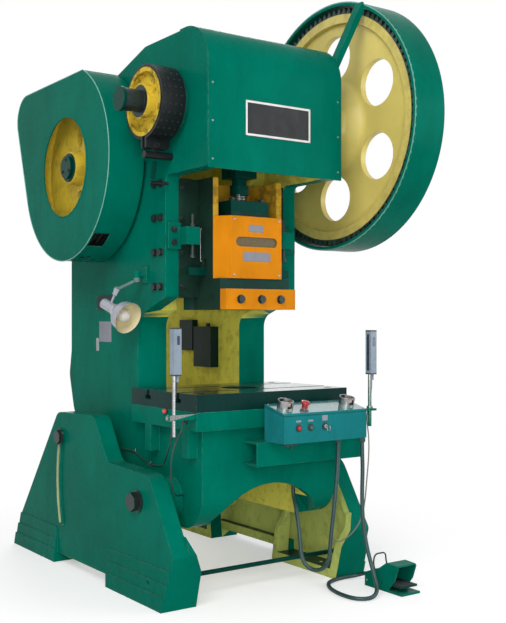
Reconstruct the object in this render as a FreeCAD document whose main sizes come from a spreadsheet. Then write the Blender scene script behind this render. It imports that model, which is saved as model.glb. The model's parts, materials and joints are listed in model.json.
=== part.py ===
"""Open-back inclinable stamping press: frame on two legs, crank, slide, gear train, guards and controls.

Millimetres, +X to the operator's right, +Y to the back, +Z up. The origin is on the floor in the
middle of the four anchor holes. Every depth below is measured from the slide's centre line, which
lies slide_y from the origin.
"""
import FreeCAD, Part
import math
import os
import re

V = FreeCAD.Vector
os.makedirs("parts", exist_ok=True)
doc = FreeCAD.newDocument("press")

# ---------------------------------------------------------------- sizes
SIZES = {
    # frame casting, depths from the slide line and heights from the floor
    "slide_y": -460, "side_out": 315, "side_gap": 182, "head_gap": 256, "apron_y": 215,
    "throat_y": 260, "head_y": 44, "gib_pocket_y": 180, "cheek_y": 249, "rear_y": 873,
    "base_low": 265, "table_top": 707, "flange_thick": 69, "chin_high": 1051, "head_low": 1128,
    "cheek_low": 1597, "head_top": 2125, "head_wall": 40, "lower_gap": 200, "table_wall": 107,
    "apron_wall": 35, "arch_rise": 155, "arch_half": 265, "back_wall_y": 480, "window_top": 1560,
    # table and bolster
    "bolster_wide": 710, "bolster_deep": 480, "bolster_thick": 64, "slot_wide": 22, "slot_deep": 38,
    "blank_hole": 100, "bolster_hole": 75,
    # legs and tilt
    "leg_out": 462, "leg_in": 392, "foot_in": 331, "leg_web": 35,
    "pivot_z": 366, "pivot_radius": 30, "clamp_y": 663, "clamp_z": 541, "clamp_radius": 10,
    "tilt_slot": 22, "anchor_front": -50, "anchor_rear": 970, "anchor_x": 372, "anchor_radius": 14,
    "tie_radius": 9, "tie_y": -95, "tie_z": 85,
    # crank, rod and slide
    "crank_z": 1855, "throw": 65, "journal": 60, "pin_radius": 75, "bush_wall": 15, "web_in": 66,
    "web_out": 140, "web_radius": 135, "big_end": 124, "rod_half": 64, "rod_neck": 50, "rod_low": 1600,
    "screw_radius": 29, "ball_radius": 50, "ball_z": 1395, "slide_half": 165, "slide_front": 60,
    "slide_back": 145, "slide_low": 1080, "slide_high": 1590, "slide_floor": 1200, "slide_wall": 25,
    "seat_top": 1461, "seat_half": 90, "vee_y": 107, "vee_deep": 29, "vee_half": 32,
    "block_front": 110, "shank_radius": 25, "shank_deep": 80, "clamp_thick": 40, "clamp_high": 79,
    "gib_low": 1128, "gib_high": 1590, "cover_front": 120, "cover_half": 120, "cover_high": 1440,
    "cover_wall": 4, "bar_low": 1212, "bar_high": 30, "bar_thick": 24, "bar_half": 240,
    "bar_lift": 34, "stop_low": 1279, "stop_x": 220, "stop_bolt_x": 284,
    # brake on the left end of the crankshaft
    "drum_radius": 128, "drum_in": 335, "drum_out": 439, "band_thick": 10.7,
    # gear train
    "tooth_module": 10, "gear_teeth": 98, "pinion_teeth": 24, "gear_in": 480, "gear_out": 590,
    "gear_web_in": 500, "gear_web_out": 526, "rim_in": 438, "gear_hole": 95, "gear_hole_ring": 298,
    "gear_guard": 520, "guard_in": 460, "guard_out": 615, "sheet": 5,
    "shaft_z": 1680, "shaft_radius": 35, "bearing_radius": 55,
    "fly_radius": 355, "fly_in": 345, "fly_out": 455, "fly_rim": 300, "guard_face": 486,
    "guard_back": 330, "guard_air": 48, "guard_hole": 208, "belt_count": 4, "belt_pitch": 24,
    "motor_y": 975, "motor_drop": 92, "motor_corner": 110, "pulley_radius": 80, "motor_radius": 108,
    "motor_foot": 132, "bracket_low": 1580, "bracket_half": 300, "bracket_plate": 18,
    # controls
    "box_left": -82, "box_right": 315, "box_front": 400, "box_back": 280, "box_low": 590,
    "box_front_high": 110, "box_back_high": 140, "rail_left": -130, "rail_right": 380,
    "rail_front": 300, "rail_high": 90, "rail_wall": 8,
    "head_high": 170, "head_side": 30, "rod_radius": 7,
    "left_rod_x": -440, "left_rod_y": -225, "left_head_low": 842,
    "right_rod_x": 350, "right_rod_y": -380, "right_head_low": 830,
    # foot switch
    "pedal_x": 420, "pedal_y": -430, "pedal_half": 48, "pedal_long": 205,
    # running clearances
    "air": 0.3, "film": 0.05,
    # worked out: the shaft lies where the pinion meshes, the guard clears the flywheel
    "centres": "=tooth_module * (gear_teeth + pinion_teeth) / 2 + air",
    "shaft_y": "=sqrt(centres * centres - (crank_z - shaft_z) * (crank_z - shaft_z))",
    "motor_z": "=shaft_z + fly_radius - motor_drop",
    "guard_radius": "=fly_radius + guard_air",
}
sheet = doc.addObject("Spreadsheet::Sheet", "Sizes")
for row, (alias, value) in enumerate(SIZES.items(), start=1):
    sheet.set(f"A{row}", alias)
    sheet.set(f"B{row}", str(value))
    sheet.setAlias(f"B{row}", alias)
doc.recompute()


class Sheet:
    """The sizes as numbers, read back from the sheet."""


S = Sheet()
for alias in SIZES:
    setattr(S, alias, float(sheet.get(alias)))


# ---------------------------------------------------------------- helpers
AXES = {"X": V(1, 0, 0), "Y": V(0, 1, 0), "Z": V(0, 0, 1)}
TURNS = {"X": FreeCAD.Rotation(V(0, 1, 0), 90), "Y": FreeCAD.Rotation(V(1, 0, 0), -90),
         "Z": FreeCAD.Rotation()}
PLANES = {"X": FreeCAD.Rotation(V(0, 1, 0), V(0, 0, 1), V(1, 0, 0), "ZXY"),
          "Y": FreeCAD.Rotation(V(1, 0, 0), V(0, 0, 1), V(0, -1, 0), "ZXY"),
          "Z": FreeCAD.Rotation()}
nodes = {}


def bound(text):
    """An expression in which each size name points at its cell."""
    return re.sub(r"[a-z]\w*", lambda m: "Sizes." + m[0] if m[0] in SIZES else m[0], str(text))


def place(obj, x, y, z, turn=None):
    """Put obj at x, y, z, with y measured from the slide line."""
    obj.Placement = FreeCAD.Placement(V(), turn or FreeCAD.Rotation())
    for name, text in (("x", x), ("y", f"slide_y + ({y})"), ("z", z)):
        obj.setExpression(f"Placement.Base.{name}", bound(text))
    return obj


def box(x, y, z, wide, deep, high):
    obj = doc.addObject("Part::Box", "Box")
    for name, text in (("Length", wide), ("Width", deep), ("Height", high)):
        obj.setExpression(name, bound(text))
    return place(obj, x, y, z)


def rod(axis, x, y, z, radius, length):
    """A cylinder that starts at x, y, z and runs along +axis."""
    obj = doc.addObject("Part::Cylinder", "Rod")
    obj.setExpression("Radius", bound(radius))
    obj.setExpression("Height", bound(length))
    return place(obj, x, y, z, TURNS[axis])


def fuse(*shapes):
    obj = doc.addObject("Part::MultiFuse", "Fuse")
    obj.Shapes = list(shapes)
    return obj


def cut(base, *tools):
    obj = doc.addObject("Part::Cut", "Cut")
    obj.Base = base
    obj.Tool = tools[0] if len(tools) == 1 else fuse(*tools)
    return obj


def common(base, tool):
    obj = doc.addObject("Part::Common", "Common")
    obj.Base = base
    obj.Tool = tool
    return obj


def group(*shapes):
    """Separate solids kept in one node."""
    obj = doc.addObject("Part::Compound", "Group")
    obj.Links = list(shapes)
    return obj


def mirror(base):
    """The same piece on the other side of the X = 0 plane."""
    obj = doc.addObject("Part::Mirroring", "Mirror")
    obj.Source = base
    obj.Normal = V(1, 0, 0)
    return obj


def ring(axis, x, y, z, outer, inner, length):
    return cut(rod(axis, x, y, z, outer, length), rod(axis, x, y, z, inner, length))


def rounded(points):
    """Edges of a closed outline. A point is (a, b) or (a, b, corner radius)."""
    corners = []
    count = len(points)
    for i, point in enumerate(points):
        here = V(point[0], point[1], 0)
        radius = point[2] if len(point) > 2 else 0
        before = V(*points[i - 1][:2], 0) - here
        after = V(*points[(i + 1) % count][:2], 0) - here
        if radius:
            half = before.getAngle(after) / 2
            reach = radius / math.tan(half)
            start = here + before.normalize() * reach
            end = here + after.normalize() * reach
            middle = here + (before + after).normalize() * (radius / math.sin(half) - radius)
            corners.append((start, middle, end))
        else:
            corners.append((here, None, here))
    edges = []
    for i, (start, middle, end) in enumerate(corners):
        if middle:
            edges.append(Part.Arc(start, middle, end))
        following = corners[(i + 1) % count][0]
        if (following - end).Length > 1e-6:
            edges.append(Part.LineSegment(end, following))
    return edges


def outline(axis, edges):
    """A sketch square to axis. Across X it reads (y, z), across Y (x, z), across Z (x, y)."""
    sketch = doc.addObject("Sketcher::SketchObject", "Outline")
    sketch.Placement = FreeCAD.Placement(V(), PLANES[axis])
    sketch.addGeometry(edges, False)
    return sketch


def prism(axis, edges, x, y, z, length):
    """An outline drawn from x, y, z and pulled along +axis."""
    obj = doc.addObject("Part::Extrusion", "Prism")
    obj.Base = outline(axis, edges)
    obj.DirMode = "Custom"
    obj.Dir = AXES[axis]
    obj.Solid = True
    obj.FaceMakerClass = "Part::FaceMakerBullseye"
    obj.setExpression("LengthFwd", bound(length))
    return place(obj, x, y, z)


def turned(axis, points, x, y, z):
    """A revolved piece from (along axis, radius) points, its axis through x, y, z."""
    obj = doc.addObject("Part::Revolution", "Turned")
    edges = rounded([(point[0], *point[1:]) for point in points])
    sketch = doc.addObject("Sketcher::SketchObject", "Profile")
    sketch.addGeometry(edges, False)
    obj.Source = sketch
    obj.Axis = V(1, 0, 0)
    obj.Angle = 360
    obj.Solid = True
    obj.FaceMakerClass = "Part::FaceMakerBullseye"
    turn = {"X": FreeCAD.Rotation(), "Y": FreeCAD.Rotation(V(0, 0, 1), 90),
            "Z": FreeCAD.Rotation(V(0, 1, 0), -90)}[axis]
    return place(obj, x, y, z, turn)


def made(shape, x=0, y=0, z=0, turn=None):
    """A feature whose shape comes from a formula."""
    obj = doc.addObject("Part::Feature", "Made")
    obj.Shape = shape
    return place(obj, x, y, z, turn)


def node(label, obj):
    obj.Label = label
    nodes[label] = obj
    return obj


def bolt(axis, way, x, y, z, radius, length, head=None, washer=True):
    """A hexagon-head screw whose head sits at x, y, z and whose shank runs against way along axis."""
    head = head or radius * 1.7
    high = radius * 1.3
    thick = radius * 0.3 if washer else 0
    hexagon = [(head * math.cos(k * math.pi / 3), head * math.sin(k * math.pi / 3)) for k in range(6)]
    wire = Part.makePolygon([V(*p, thick) for p in hexagon + hexagon[:1]])
    shape = Part.Face(wire).extrude(V(0, 0, high))
    if washer:
        shape = shape.fuse(Part.makeCylinder(head * 1.15, thick))
    shape = shape.fuse(Part.makeCylinder(radius, length, V(0, 0, -length)))
    return made(shape.removeSplitter(), x, y, z, FreeCAD.Rotation(V(0, 0, 1), AXES[axis] * way))


# ---------------------------------------------------------------- frame casting
side_outline = [
    (-S.apron_y, S.table_top), (-S.apron_y, S.base_low, 130), (450, S.base_low, 200), (845, 629, 120),
    (894, 794, 80), (S.rear_y, 903, 60), (S.rear_y, 1700, 60), (462, 2049, 60), (200, S.head_top, 80),
    (-S.cheek_y, S.head_top, 150), (-S.cheek_y, S.cheek_low, 8), (S.head_y, S.cheek_low, 25),
    (S.head_y, S.head_low, 15), (S.throat_y, S.chin_high, 60), (S.throat_y, S.table_top)]
blank = prism("X", rounded(side_outline), "-side_out", 0, 0, "side_out * 2")
table = box("-bolster_wide / 2", "-bolster_deep / 2", "table_top - flange_thick",
            "bolster_wide", "bolster_deep", "flange_thick")


def both_sides(make):
    """The same boss, rib or hole on the right and on the left."""
    right = make()
    return [right, mirror(right)]


gussets = []
for rib_y in (-182, 89):
    gussets += both_sides(lambda: box("side_out", rib_y, "table_top - flange_thick - 103",
                                      "bolster_wide / 2 - side_out", 44, 103))
crank_bosses = both_sides(lambda: rod("X", 170, 0, "crank_z", 115, "side_out + 12 - 170"))
shaft_bosses = both_sides(lambda: rod("X", "side_gap", "shaft_y", "shaft_z", 80, "side_out + 12 - side_gap"))
pivot_bosses = both_sides(lambda: rod("X", 300, 0, "pivot_z", 80, "leg_in - air - 300"))
clamp_bosses = both_sides(lambda: rod("X", 300, "clamp_y", "clamp_z", 38, "leg_in - air - 300"))
solid_parts = gussets + crank_bosses + shaft_bosses + pivot_bosses + clamp_bosses

hollow = [
    # crank chamber, open to the front under the hood, and the pocket of the gibs
    box("-head_gap", "-cheek_y - 20", "cheek_low - 20", "head_gap * 2", "cheek_y - 40", 600),
    box("-head_gap", -61, "cheek_low - 20", "head_gap * 2", "gib_pocket_y + 61",
        "head_top - head_wall - cheek_low + 20"),
    box("-head_gap", "head_y - 20", "chin_high - 40", "head_gap * 2", "gib_pocket_y - head_y + 20", 600),
    box("-side_gap", "gib_pocket_y - 1", "cheek_low - 40", "side_gap * 2",
        "back_wall_y - gib_pocket_y + 1", "2010 - cheek_low + 40"),
    # the open back between the uprights
    box("-side_gap", "gib_pocket_y - 1", "table_top", "side_gap * 2", 900, "window_top - table_top"),
    prism("X", rounded([(520, 1559), (900, 1559), (900, 1640), (520, 1955)]),
          "-side_gap", 0, 0, "side_gap * 2"),
    # hollow under the table, and the arch in the front apron
    box("-lower_gap", "-apron_y + apron_wall", 200, "lower_gap * 2", 1200,
        "table_top - table_wall - 200"),
]
arch_radius = "(arch_half * arch_half + arch_rise * arch_rise) / (2 * arch_rise)"
hollow.append(rod("Y", 0, -240, f"base_low + arch_rise - {arch_radius}", arch_radius, 140))
blank_bore = rod("Z", 0, 0, 500, "blank_hole", 400)
crank_bores = both_sides(lambda: rod("X", 160, 0, "crank_z", "journal + bush_wall", 200))
shaft_bores = both_sides(lambda: rod("X", 170, "shaft_y", "shaft_z", "bearing_radius", 180))
pivot_bores = both_sides(lambda: rod("X", "lower_gap + 20", 0, "pivot_z", "pivot_radius", 200))
clamp_bores = both_sides(lambda: rod("X", 240, "clamp_y", "clamp_z", "clamp_radius", 200))
GIB_SCREW_Z = (1169, 1302, 1436, 1568)
GIB_SCREW_Y = (76, 122)
gib_bores = []
for screw_z in GIB_SCREW_Z:
    for screw_y in GIB_SCREW_Y:
        gib_bores += both_sides(lambda: rod("X", 250, screw_y, screw_z, 9, 80))
STOP_BOLT_Z = (1340, 1390)
MOTOR_BOLTS = [(side * (S.bracket_half - 50), S.bracket_low + rise) for side in (-1, 1) for rise in (30, 85)]
stop_threads = []
for screw_z in STOP_BOLT_Z:
    stop_threads += both_sides(lambda: rod("Y", "stop_bolt_x", "head_y - 1", screw_z, 6 + S.film, 27))
motor_threads = [rod("Y", x, "rear_y - 29", z, 8 + S.film, 40) for x, z in MOTOR_BOLTS]
body = cut(fuse(cut(fuse(blank, table), *hollow), *solid_parts), blank_bore, *crank_bores,
           *shaft_bores, *pivot_bores, *clamp_bores, *gib_bores, *stop_threads, *motor_threads)
node("frame_casting", body)

# ---------------------------------------------------------------- legs
leg_shape = [(1143, 0), (1093, 150), (700, 645, 60), (360, 654, 60), (241, 482, 60),
             (-85, 470, 90), (-253, 202, 20), (-200, 0), (225, 0), (225, 41), (702, 41), (702, 0)]
leg_room = [(1095, 36), (1056, 130), (678, 611, 40), (385, 618, 40), (262, 446, 60),
            (-72, 434, 60), (-214, 205), (-166, 36), (190, 36), (190, 77), (738, 77), (738, 36)]
foot_front = [(-200, 0), (225, 0), (180, 270), (-225, 270), (-253, 202)]
front_room = [(-164, 36), (188, 36), (160, 280), (-190, 280), (-216, 205)]
foot_rear = [(702, 0), (1143, 0), (1093, 150), (1000, 270), (735, 270)]
rear_room = [(740, 36), (1098, 36), (1056, 135), (970, 280), (765, 280)]
shoulder = [(S.foot_in, 0), (S.leg_in + 1, 0), (S.leg_in + 1, 265), (S.leg_in, 265), (S.foot_in, 135, 30)]

leg_blank = prism("X", rounded(leg_shape), "leg_in", 0, 0, "leg_out - leg_in")
leg_hollow = prism("X", rounded(leg_room), "leg_in - 1", 0, 0, "leg_out - leg_in - leg_web + 1")
foot_limit = prism("Y", rounded(shoulder), 0, -260, 0, 1420)
foot_blocks = []
for side_view, room_view in ((foot_front, front_room), (foot_rear, rear_room)):
    block = prism("X", rounded(side_view), "foot_in - 5", 0, 0, "leg_in + 6 - foot_in")
    room = prism("X", rounded(room_view), "foot_in - 10", 0, 0, "leg_in - foot_in + 20")
    foot_blocks.append(cut(common(block, foot_limit), room))

steps = []
for step_z, step_out in ((150, 6), (100, 12), (55, 18)):
    for first, length in ((-260, 485), (702, 445)):
        steps.append(box("leg_out - 5", first, 0, 5 + step_out, length, step_z))
step_limit = prism("X", rounded(leg_shape), "leg_out - 6", 0, 0, 60)
sills = common(fuse(*steps), step_limit)

pivot_pad = rod("X", "leg_in", 0, "pivot_z", 75, "leg_out - leg_in")
TILT_TRAVEL = 30
clamp_angle = math.degrees(math.atan2(S.clamp_z - S.pivot_z, S.clamp_y))


def arc_band(half_width, start, length):
    """A band round the pivot, from the upper clamp place down through the tilt, with round ends."""
    reach = math.hypot(S.clamp_y, S.clamp_z - S.pivot_z)

    def at(angle, radius):
        turn = math.radians(angle)
        return V(radius * math.cos(turn), S.pivot_z + radius * math.sin(turn), 0)

    low = clamp_angle - TILT_TRAVEL
    middle = clamp_angle - TILT_TRAVEL / 2
    end_turn = math.degrees(half_width / reach)
    edges = [
        Part.Arc(at(clamp_angle, reach + half_width), at(middle, reach + half_width),
                 at(low, reach + half_width)),
        Part.Arc(at(low, reach + half_width), at(low - end_turn, reach), at(low, reach - half_width)),
        Part.Arc(at(low, reach - half_width), at(middle, reach - half_width),
                 at(clamp_angle, reach - half_width)),
        Part.Arc(at(clamp_angle, reach - half_width), at(clamp_angle + end_turn, reach),
                 at(clamp_angle, reach + half_width)),
    ]
    return prism("X", edges, start, 0, 0, length)


slot_wall = common(arc_band(S.tilt_slot / 2 + 24, "leg_in", "leg_out - leg_in"),
                   prism("X", rounded(leg_shape), "leg_in", 0, 0, "leg_out - leg_in"))
slot_lip = common(arc_band(S.tilt_slot / 2 + 12, "leg_out - 1", 9),
                  prism("X", rounded(leg_shape), "leg_out - 1", 0, 0, 9))
slot_gap = arc_band(S.tilt_slot / 2, "leg_in - 30", "leg_out - leg_in + 60")
leg_holes = [rod("X", "leg_in - 10", 0, "pivot_z", "pivot_radius", "leg_out - leg_in + 60"), slot_gap,
             rod("X", "foot_in - 10", "tie_y", "tie_z", "tie_radius", 170)]
for hole_y in ("anchor_front", "anchor_rear"):
    leg_holes.append(rod("Z", "anchor_x", hole_y, -10, "anchor_radius", 60))
right_leg = cut(fuse(cut(leg_blank, leg_hollow), *foot_blocks, sills, pivot_pad, slot_wall, slot_lip),
                *leg_holes)
node("right_leg", right_leg)
node("left_leg", mirror(right_leg))


# ---------------------------------------------------------------- feet and tilt
node("tie_rod", rod("X", "-leg_out + 6", "tie_y", "tie_z", "tie_radius - film", "leg_out * 2 - 12"))
pivot_pin = fuse(rod("X", "lower_gap + 30", 0, "pivot_z", "pivot_radius - film", "leg_out - lower_gap - 30"),
                 bolt("X", 1, "leg_out", 0, "pivot_z", 20, 5, head=36))
node("pivot_bolts", group(pivot_pin, mirror(pivot_pin)))
clamp_bolt = bolt("X", 1, "leg_out + 8 + air", "clamp_y", "clamp_z", S.clamp_radius - S.film, 210, head=30)
node("clamp_bolts", group(clamp_bolt, mirror(clamp_bolt)))

# ---------------------------------------------------------------- bolster
bolster_slab = box("-bolster_wide / 2", "-bolster_deep / 2", "table_top",
                   "bolster_wide", "bolster_deep", "bolster_thick")
tee_slots = []
for slot_y in (-110, 110):
    tee_slots.append(box("-bolster_wide / 2 - 1", f"{slot_y} - slot_wide / 2",
                         "table_top + bolster_thick - slot_deep", "bolster_wide + 2", "slot_wide",
                         "slot_deep + 1"))
    tee_slots.append(box("-bolster_wide / 2 - 1", f"{slot_y} - slot_wide",
                         "table_top + bolster_thick - slot_deep", "bolster_wide + 2", "slot_wide * 2", 16))
BOLSTER_BOLTS = [(x, y) for x in (-300, 300) for y in (-185, 185)]
bolster_holes = [rod("Z", x, y, "table_top - 1", 10, 100) for x, y in BOLSTER_BOLTS]
bolster_sinks = [rod("Z", x, y, "table_top + bolster_thick - 22", 17, 40) for x, y in BOLSTER_BOLTS]
node("bolster_plate", cut(bolster_slab, rod("Z", 0, 0, "table_top - 1", "bolster_hole", 100),
                          *tee_slots, *bolster_holes, *bolster_sinks))
frame_screws = [
    fuse(rod("Z", x, y, "table_top + air", 9.7, "bolster_thick - 22"),
         rod("Z", x, y, "table_top + bolster_thick - 22 + air", 15, 16)) for x, y in BOLSTER_BOLTS]

# ---------------------------------------------------------------- gibs
gib_plan = [(S.slide_half + S.air, S.head_y), (S.head_gap, S.head_y), (S.head_gap, 172),
            (S.slide_half + S.air, 172), (S.slide_half + S.air, S.vee_y + S.vee_half),
            (S.slide_half + S.air + S.vee_deep, S.vee_y), (S.slide_half + S.air, S.vee_y - S.vee_half)]
GIB_FACE_Z = (1170, 1304, 1432, 1557)
gib_face_holes = [rod("Y", 241, "head_y - 1", z, 6, 40) for z in GIB_FACE_Z]
right_gib = cut(prism("Z", rounded(gib_plan), 0, 0, "gib_low", "gib_high - gib_low"), *gib_face_holes)
node("gibs", group(right_gib, mirror(right_gib)))
for z in GIB_SCREW_Z:
    for y in GIB_SCREW_Y:
        frame_screws += both_sides(lambda: bolt("X", 1, "side_out", y, z, 8.5, 58, head=14))
for z in GIB_FACE_Z:
    frame_screws += both_sides(lambda: bolt("Y", -1, 241, "head_y", z, 5.7, 30, head=9))

# ---------------------------------------------------------------- slide
slide_plan = [(S.slide_half, -S.slide_front), (S.slide_half, S.vee_y - S.vee_half),
              (S.slide_half + S.vee_deep, S.vee_y), (S.slide_half, S.vee_y + S.vee_half),
              (S.slide_half, S.slide_back), (-S.slide_half, S.slide_back),
              (-S.slide_half, S.vee_y + S.vee_half), (-S.slide_half - S.vee_deep, S.vee_y),
              (-S.slide_half, S.vee_y - S.vee_half), (-S.slide_half, -S.slide_front)]
slide_blank = prism("Z", rounded(slide_plan), 0, 0, "slide_low", "slide_high - slide_low")
slide_nose = box("-slide_half", "-block_front", "slide_low",
                 "slide_half * 2", "block_front - slide_front + 1", "slide_floor - slide_low")
slide_room = box("-slide_half + slide_wall", "-slide_front - 1", "slide_floor",
                 "slide_half * 2 - slide_wall * 2", "slide_front + slide_back - 20 + 1", 500)
seat_block = box("-seat_half", "-slide_front - 15", "slide_floor - 1", "seat_half * 2", "slide_front + 140",
                 "seat_top - slide_floor + 1")
# the trough lets the ball pass to the back as the crank goes round
ball_room = [rod("Z", 0, 0, "ball_z - ball_radius - 16", "ball_radius + 2", 200),
             box("-ball_radius - 2", 0, "ball_z - ball_radius - 16", "ball_radius * 2 + 4", 125, 200)]
SEAT_BOLTS = [(x, y) for x in (-70, 70) for y in (-50, 95)]
seat_bores = [rod("Z", x, y, "seat_top - 60", 8 + S.film, 120) for x, y in SEAT_BOLTS]
bar_slot = box("-slide_half - 5", "-bar_thick / 2 - air", "bar_low - air", "slide_half * 2 + 10",
               "bar_thick + 2 * air", "bar_high + bar_lift + 2")
shank_bore = rod("Z", 0, 0, "slide_low - 1", "shank_radius", "shank_deep + 1")
knock_hole = rod("Z", 0, 0, "slide_low", 10, "bar_low - slide_low + 5")
clamp_seat = box("-46", "-block_front - 1", "slide_low - 1", 92, "block_front + 1", "clamp_high + 1")
CLAMP_BOLT_X = (-98, 0, 92)
clamp_threads = [rod("Y", x, "-block_front - 20", "slide_low + clamp_high / 2", 8, 70)
                 for x in (CLAMP_BOLT_X[0], CLAMP_BOLT_X[2])]
slide_block = cut(fuse(cut(fuse(slide_blank, slide_nose), slide_room), seat_block), *ball_room, bar_slot,
                  shank_bore, knock_hole, clamp_seat, *clamp_threads, *seat_bores)
node("slide_block", slide_block)

clamp_plate = box("-slide_half", "-block_front - clamp_thick", "slide_low", "slide_half * 2", "clamp_thick",
                  "clamp_high")
clamp_tongue = box("-46 + air", "-block_front - 1", "slide_low", "92 - air * 2", "block_front + 0.5",
                   "clamp_high")
clamp_bores = []
for x, deep in zip(CLAMP_BOLT_X, (2, 60, 2)):
    clamp_bores.append(rod("Y", x, "-block_front - clamp_thick - 1", "slide_low + clamp_high / 2", 8.2,
                           f"clamp_thick + {deep}"))
shank_hole = rod("Z", 0, 0, "slide_low - 1", "shank_radius", 200)
node("shank_clamp", cut(fuse(clamp_plate, clamp_tongue), shank_hole, *clamp_bores))
slide_bolts = [
    bolt("Y", -1, x, "-block_front - clamp_thick", "slide_low + clamp_high / 2", 7.7,
         55 if x else 75, head=15) for x in CLAMP_BOLT_X]

cover_plan = [(-S.slide_half, -S.slide_front), (-S.cover_half, -S.cover_front),
              (S.cover_half, -S.cover_front), (S.slide_half, -S.slide_front)]
inset = S.cover_wall * 1.2
room_front = -S.cover_front + S.cover_wall
cover_room = [(-S.slide_half + inset, -S.slide_front + 1), (-S.cover_half + inset / 2, room_front),
              (S.cover_half - inset / 2, room_front), (S.slide_half - inset, -S.slide_front + 1)]
cover_blank = prism("Z", rounded(cover_plan), 0, "-air", "slide_floor", "cover_high - slide_floor")
cover_hollow = prism("Z", rounded(cover_room), 0, "-air", "slide_floor - 5", 400)
cover_slot = fuse(box("-80", "-cover_front - 20", 1323, 160, 40, 37),
                  rod("Y", -80, "-cover_front - 20", 1341.5, 18.5, 40),
                  rod("Y", 80, "-cover_front - 20", 1341.5, 18.5, 40))
node("slide_cover", cut(cover_blank, cover_hollow, cover_slot))

seat_cap = cut(box("-seat_half", "-slide_front - 15", "seat_top", "seat_half * 2", "slide_front + 140", 44),
               rod("Z", 0, 0, "seat_top - 1", "screw_radius + 4", 60),
               box("-screw_radius - 4", 0, "seat_top - 1", "screw_radius * 2 + 8", 130, 60), *seat_bores)
node("ball_seat_cap", seat_cap)
slide_bolts += [bolt("Z", 1, x, y, "seat_top + 44", 8, 95, head=14) for x, y in SEAT_BOLTS]
node("slide_bolts", group(*slide_bolts))
node("knockout_bar", box("-bar_half", "-bar_thick / 2", "bar_low", "bar_half * 2", "bar_thick", "bar_high"))

# ---------------------------------------------------------------- crank, bushes and connecting rod
pin_z = "crank_z + throw"
journals = [rod("X", "-drum_out - 90", 0, "crank_z", 42, 200),
            rod("X", "-drum_out - 16", 0, "crank_z", "journal", "drum_out + 16 - web_in - 20"),
            rod("X", "web_in + 20", 0, "crank_z", "journal", "guard_out - 15 - web_in - 20")]
webs = [rod("X", "-web_out", 0, "crank_z + 28", "web_radius", "web_out - web_in"),
        rod("X", "web_in", 0, "crank_z + 28", "web_radius", "web_out - web_in")]
crank_pin = rod("X", "-web_in - 1", 0, pin_z, "pin_radius", "web_in * 2 + 2")
key_groove = rod("X", "drum_in + 40", 0, "crank_z + journal - 9", 13.1, 226)
node("crankshaft", cut(fuse(*journals, *webs, crank_pin), key_groove))
node("clutch_key", common(rod("X", "drum_in + 40.2", 0, "crank_z + journal - 9", 13, 224.4),
                          rod("X", "drum_in", 0, "crank_z", "journal - film", 300)))
node("crank_end_caps", group(rod("X", "-drum_out - 102", 0, "crank_z", 45, 12),
                             ring("X", "guard_out - 15", 0, "crank_z", 92, 20, 12)))
crank_bush = ring("X", 170, 0, "crank_z", "journal + bush_wall - film", "journal + film",
                  "side_out + 12 - 170")

big_end = rod("X", "-rod_half", 0, pin_z, "big_end", "rod_half * 2")
shank = box("-rod_neck", "-rod_neck", "rod_low", "rod_neck * 2", "rod_neck * 2", f"{pin_z} - rod_low")
rod_lugs = box("-rod_half + 10", -122, f"{pin_z} - 60", "rod_half * 2 - 20", 244, 145)
ROD_BOLTS = [(x, y) for x in (-30, 30) for y in (-106, 106)]
rod_bores = [rod("Z", x, y, f"{pin_z} - 50", 8 + S.film, 140) for x, y in ROD_BOLTS]
rod_blank = fuse(big_end, shank, rod_lugs)
pin_bore = rod("X", "-rod_half - 1", 0, pin_z, "pin_radius + film", "rod_half * 2 + 2")
screw_bore = rod("Z", 0, 0, "rod_low - 1", "screw_radius + film", 190)
lower_half = box(-200, -200, "rod_low - 50", 400, 400, f"{pin_z} - air / 2 - rod_low + 50")
upper_half = box(-200, -200, f"{pin_z} + air / 2", 400, 400, 300)
node("connecting_rod", common(cut(rod_blank, pin_bore, screw_bore, *rod_bores), lower_half))
rod_bolts = [bolt("Z", 1, x, y, f"{pin_z} + 85", 8, 130, head=13) for x, y in ROD_BOLTS]
node("rod_cap", group(common(cut(rod_blank, pin_bore, *rod_bores), upper_half), *rod_bolts))
ball = made(Part.makeSphere(S.ball_radius), 0, 0, "ball_z")
screw = rod("Z", 0, 0, "ball_z", "screw_radius", "rod_low + 170 - ball_z")
collar_flats = [box(-60, y, 1530, 120, 20, 50) for y in (32, -52)]
hexagon_collar = cut(rod("Z", 0, 0, 1535, 38, 38), *collar_flats)
node("ball_screw", fuse(ball, screw, hexagon_collar))

# ---------------------------------------------------------------- knock-out stops
stop_plate = box(250, "head_y - 10", 1314, 58, 10, 102)
stop_arm = fuse(box(200, -22, 1330, 60, "head_y - 10 + 22 + 0.5", 68), box(245, -22, 1330, 15, 40, 68),
                rod("Z", "stop_x", 0, 1330, 22, 68))
stop_bores = [rod("Y", "stop_bolt_x", "head_y - 12", z, 6 + S.film, 20) for z in STOP_BOLT_Z]
stop_boss = cut(fuse(stop_plate, stop_arm), rod("Z", "stop_x", 0, 1300, 8.3, 130), *stop_bores)
stop_screws = both_sides(lambda: fuse(rod("Z", "stop_x", 0, "stop_low", 8, 170),
                                      rod("Z", "stop_x", 0, "stop_low", 13, 12),
                                      rod("Z", "stop_x", 0, "1398 + air", 13, 14)))
node("knockout_stops", group(stop_boss, mirror(stop_boss), *stop_screws))
for z in STOP_BOLT_Z:
    frame_screws += both_sides(lambda: bolt("Y", -1, "stop_bolt_x", "head_y - 10", z, 6, 34, head=11))

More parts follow.
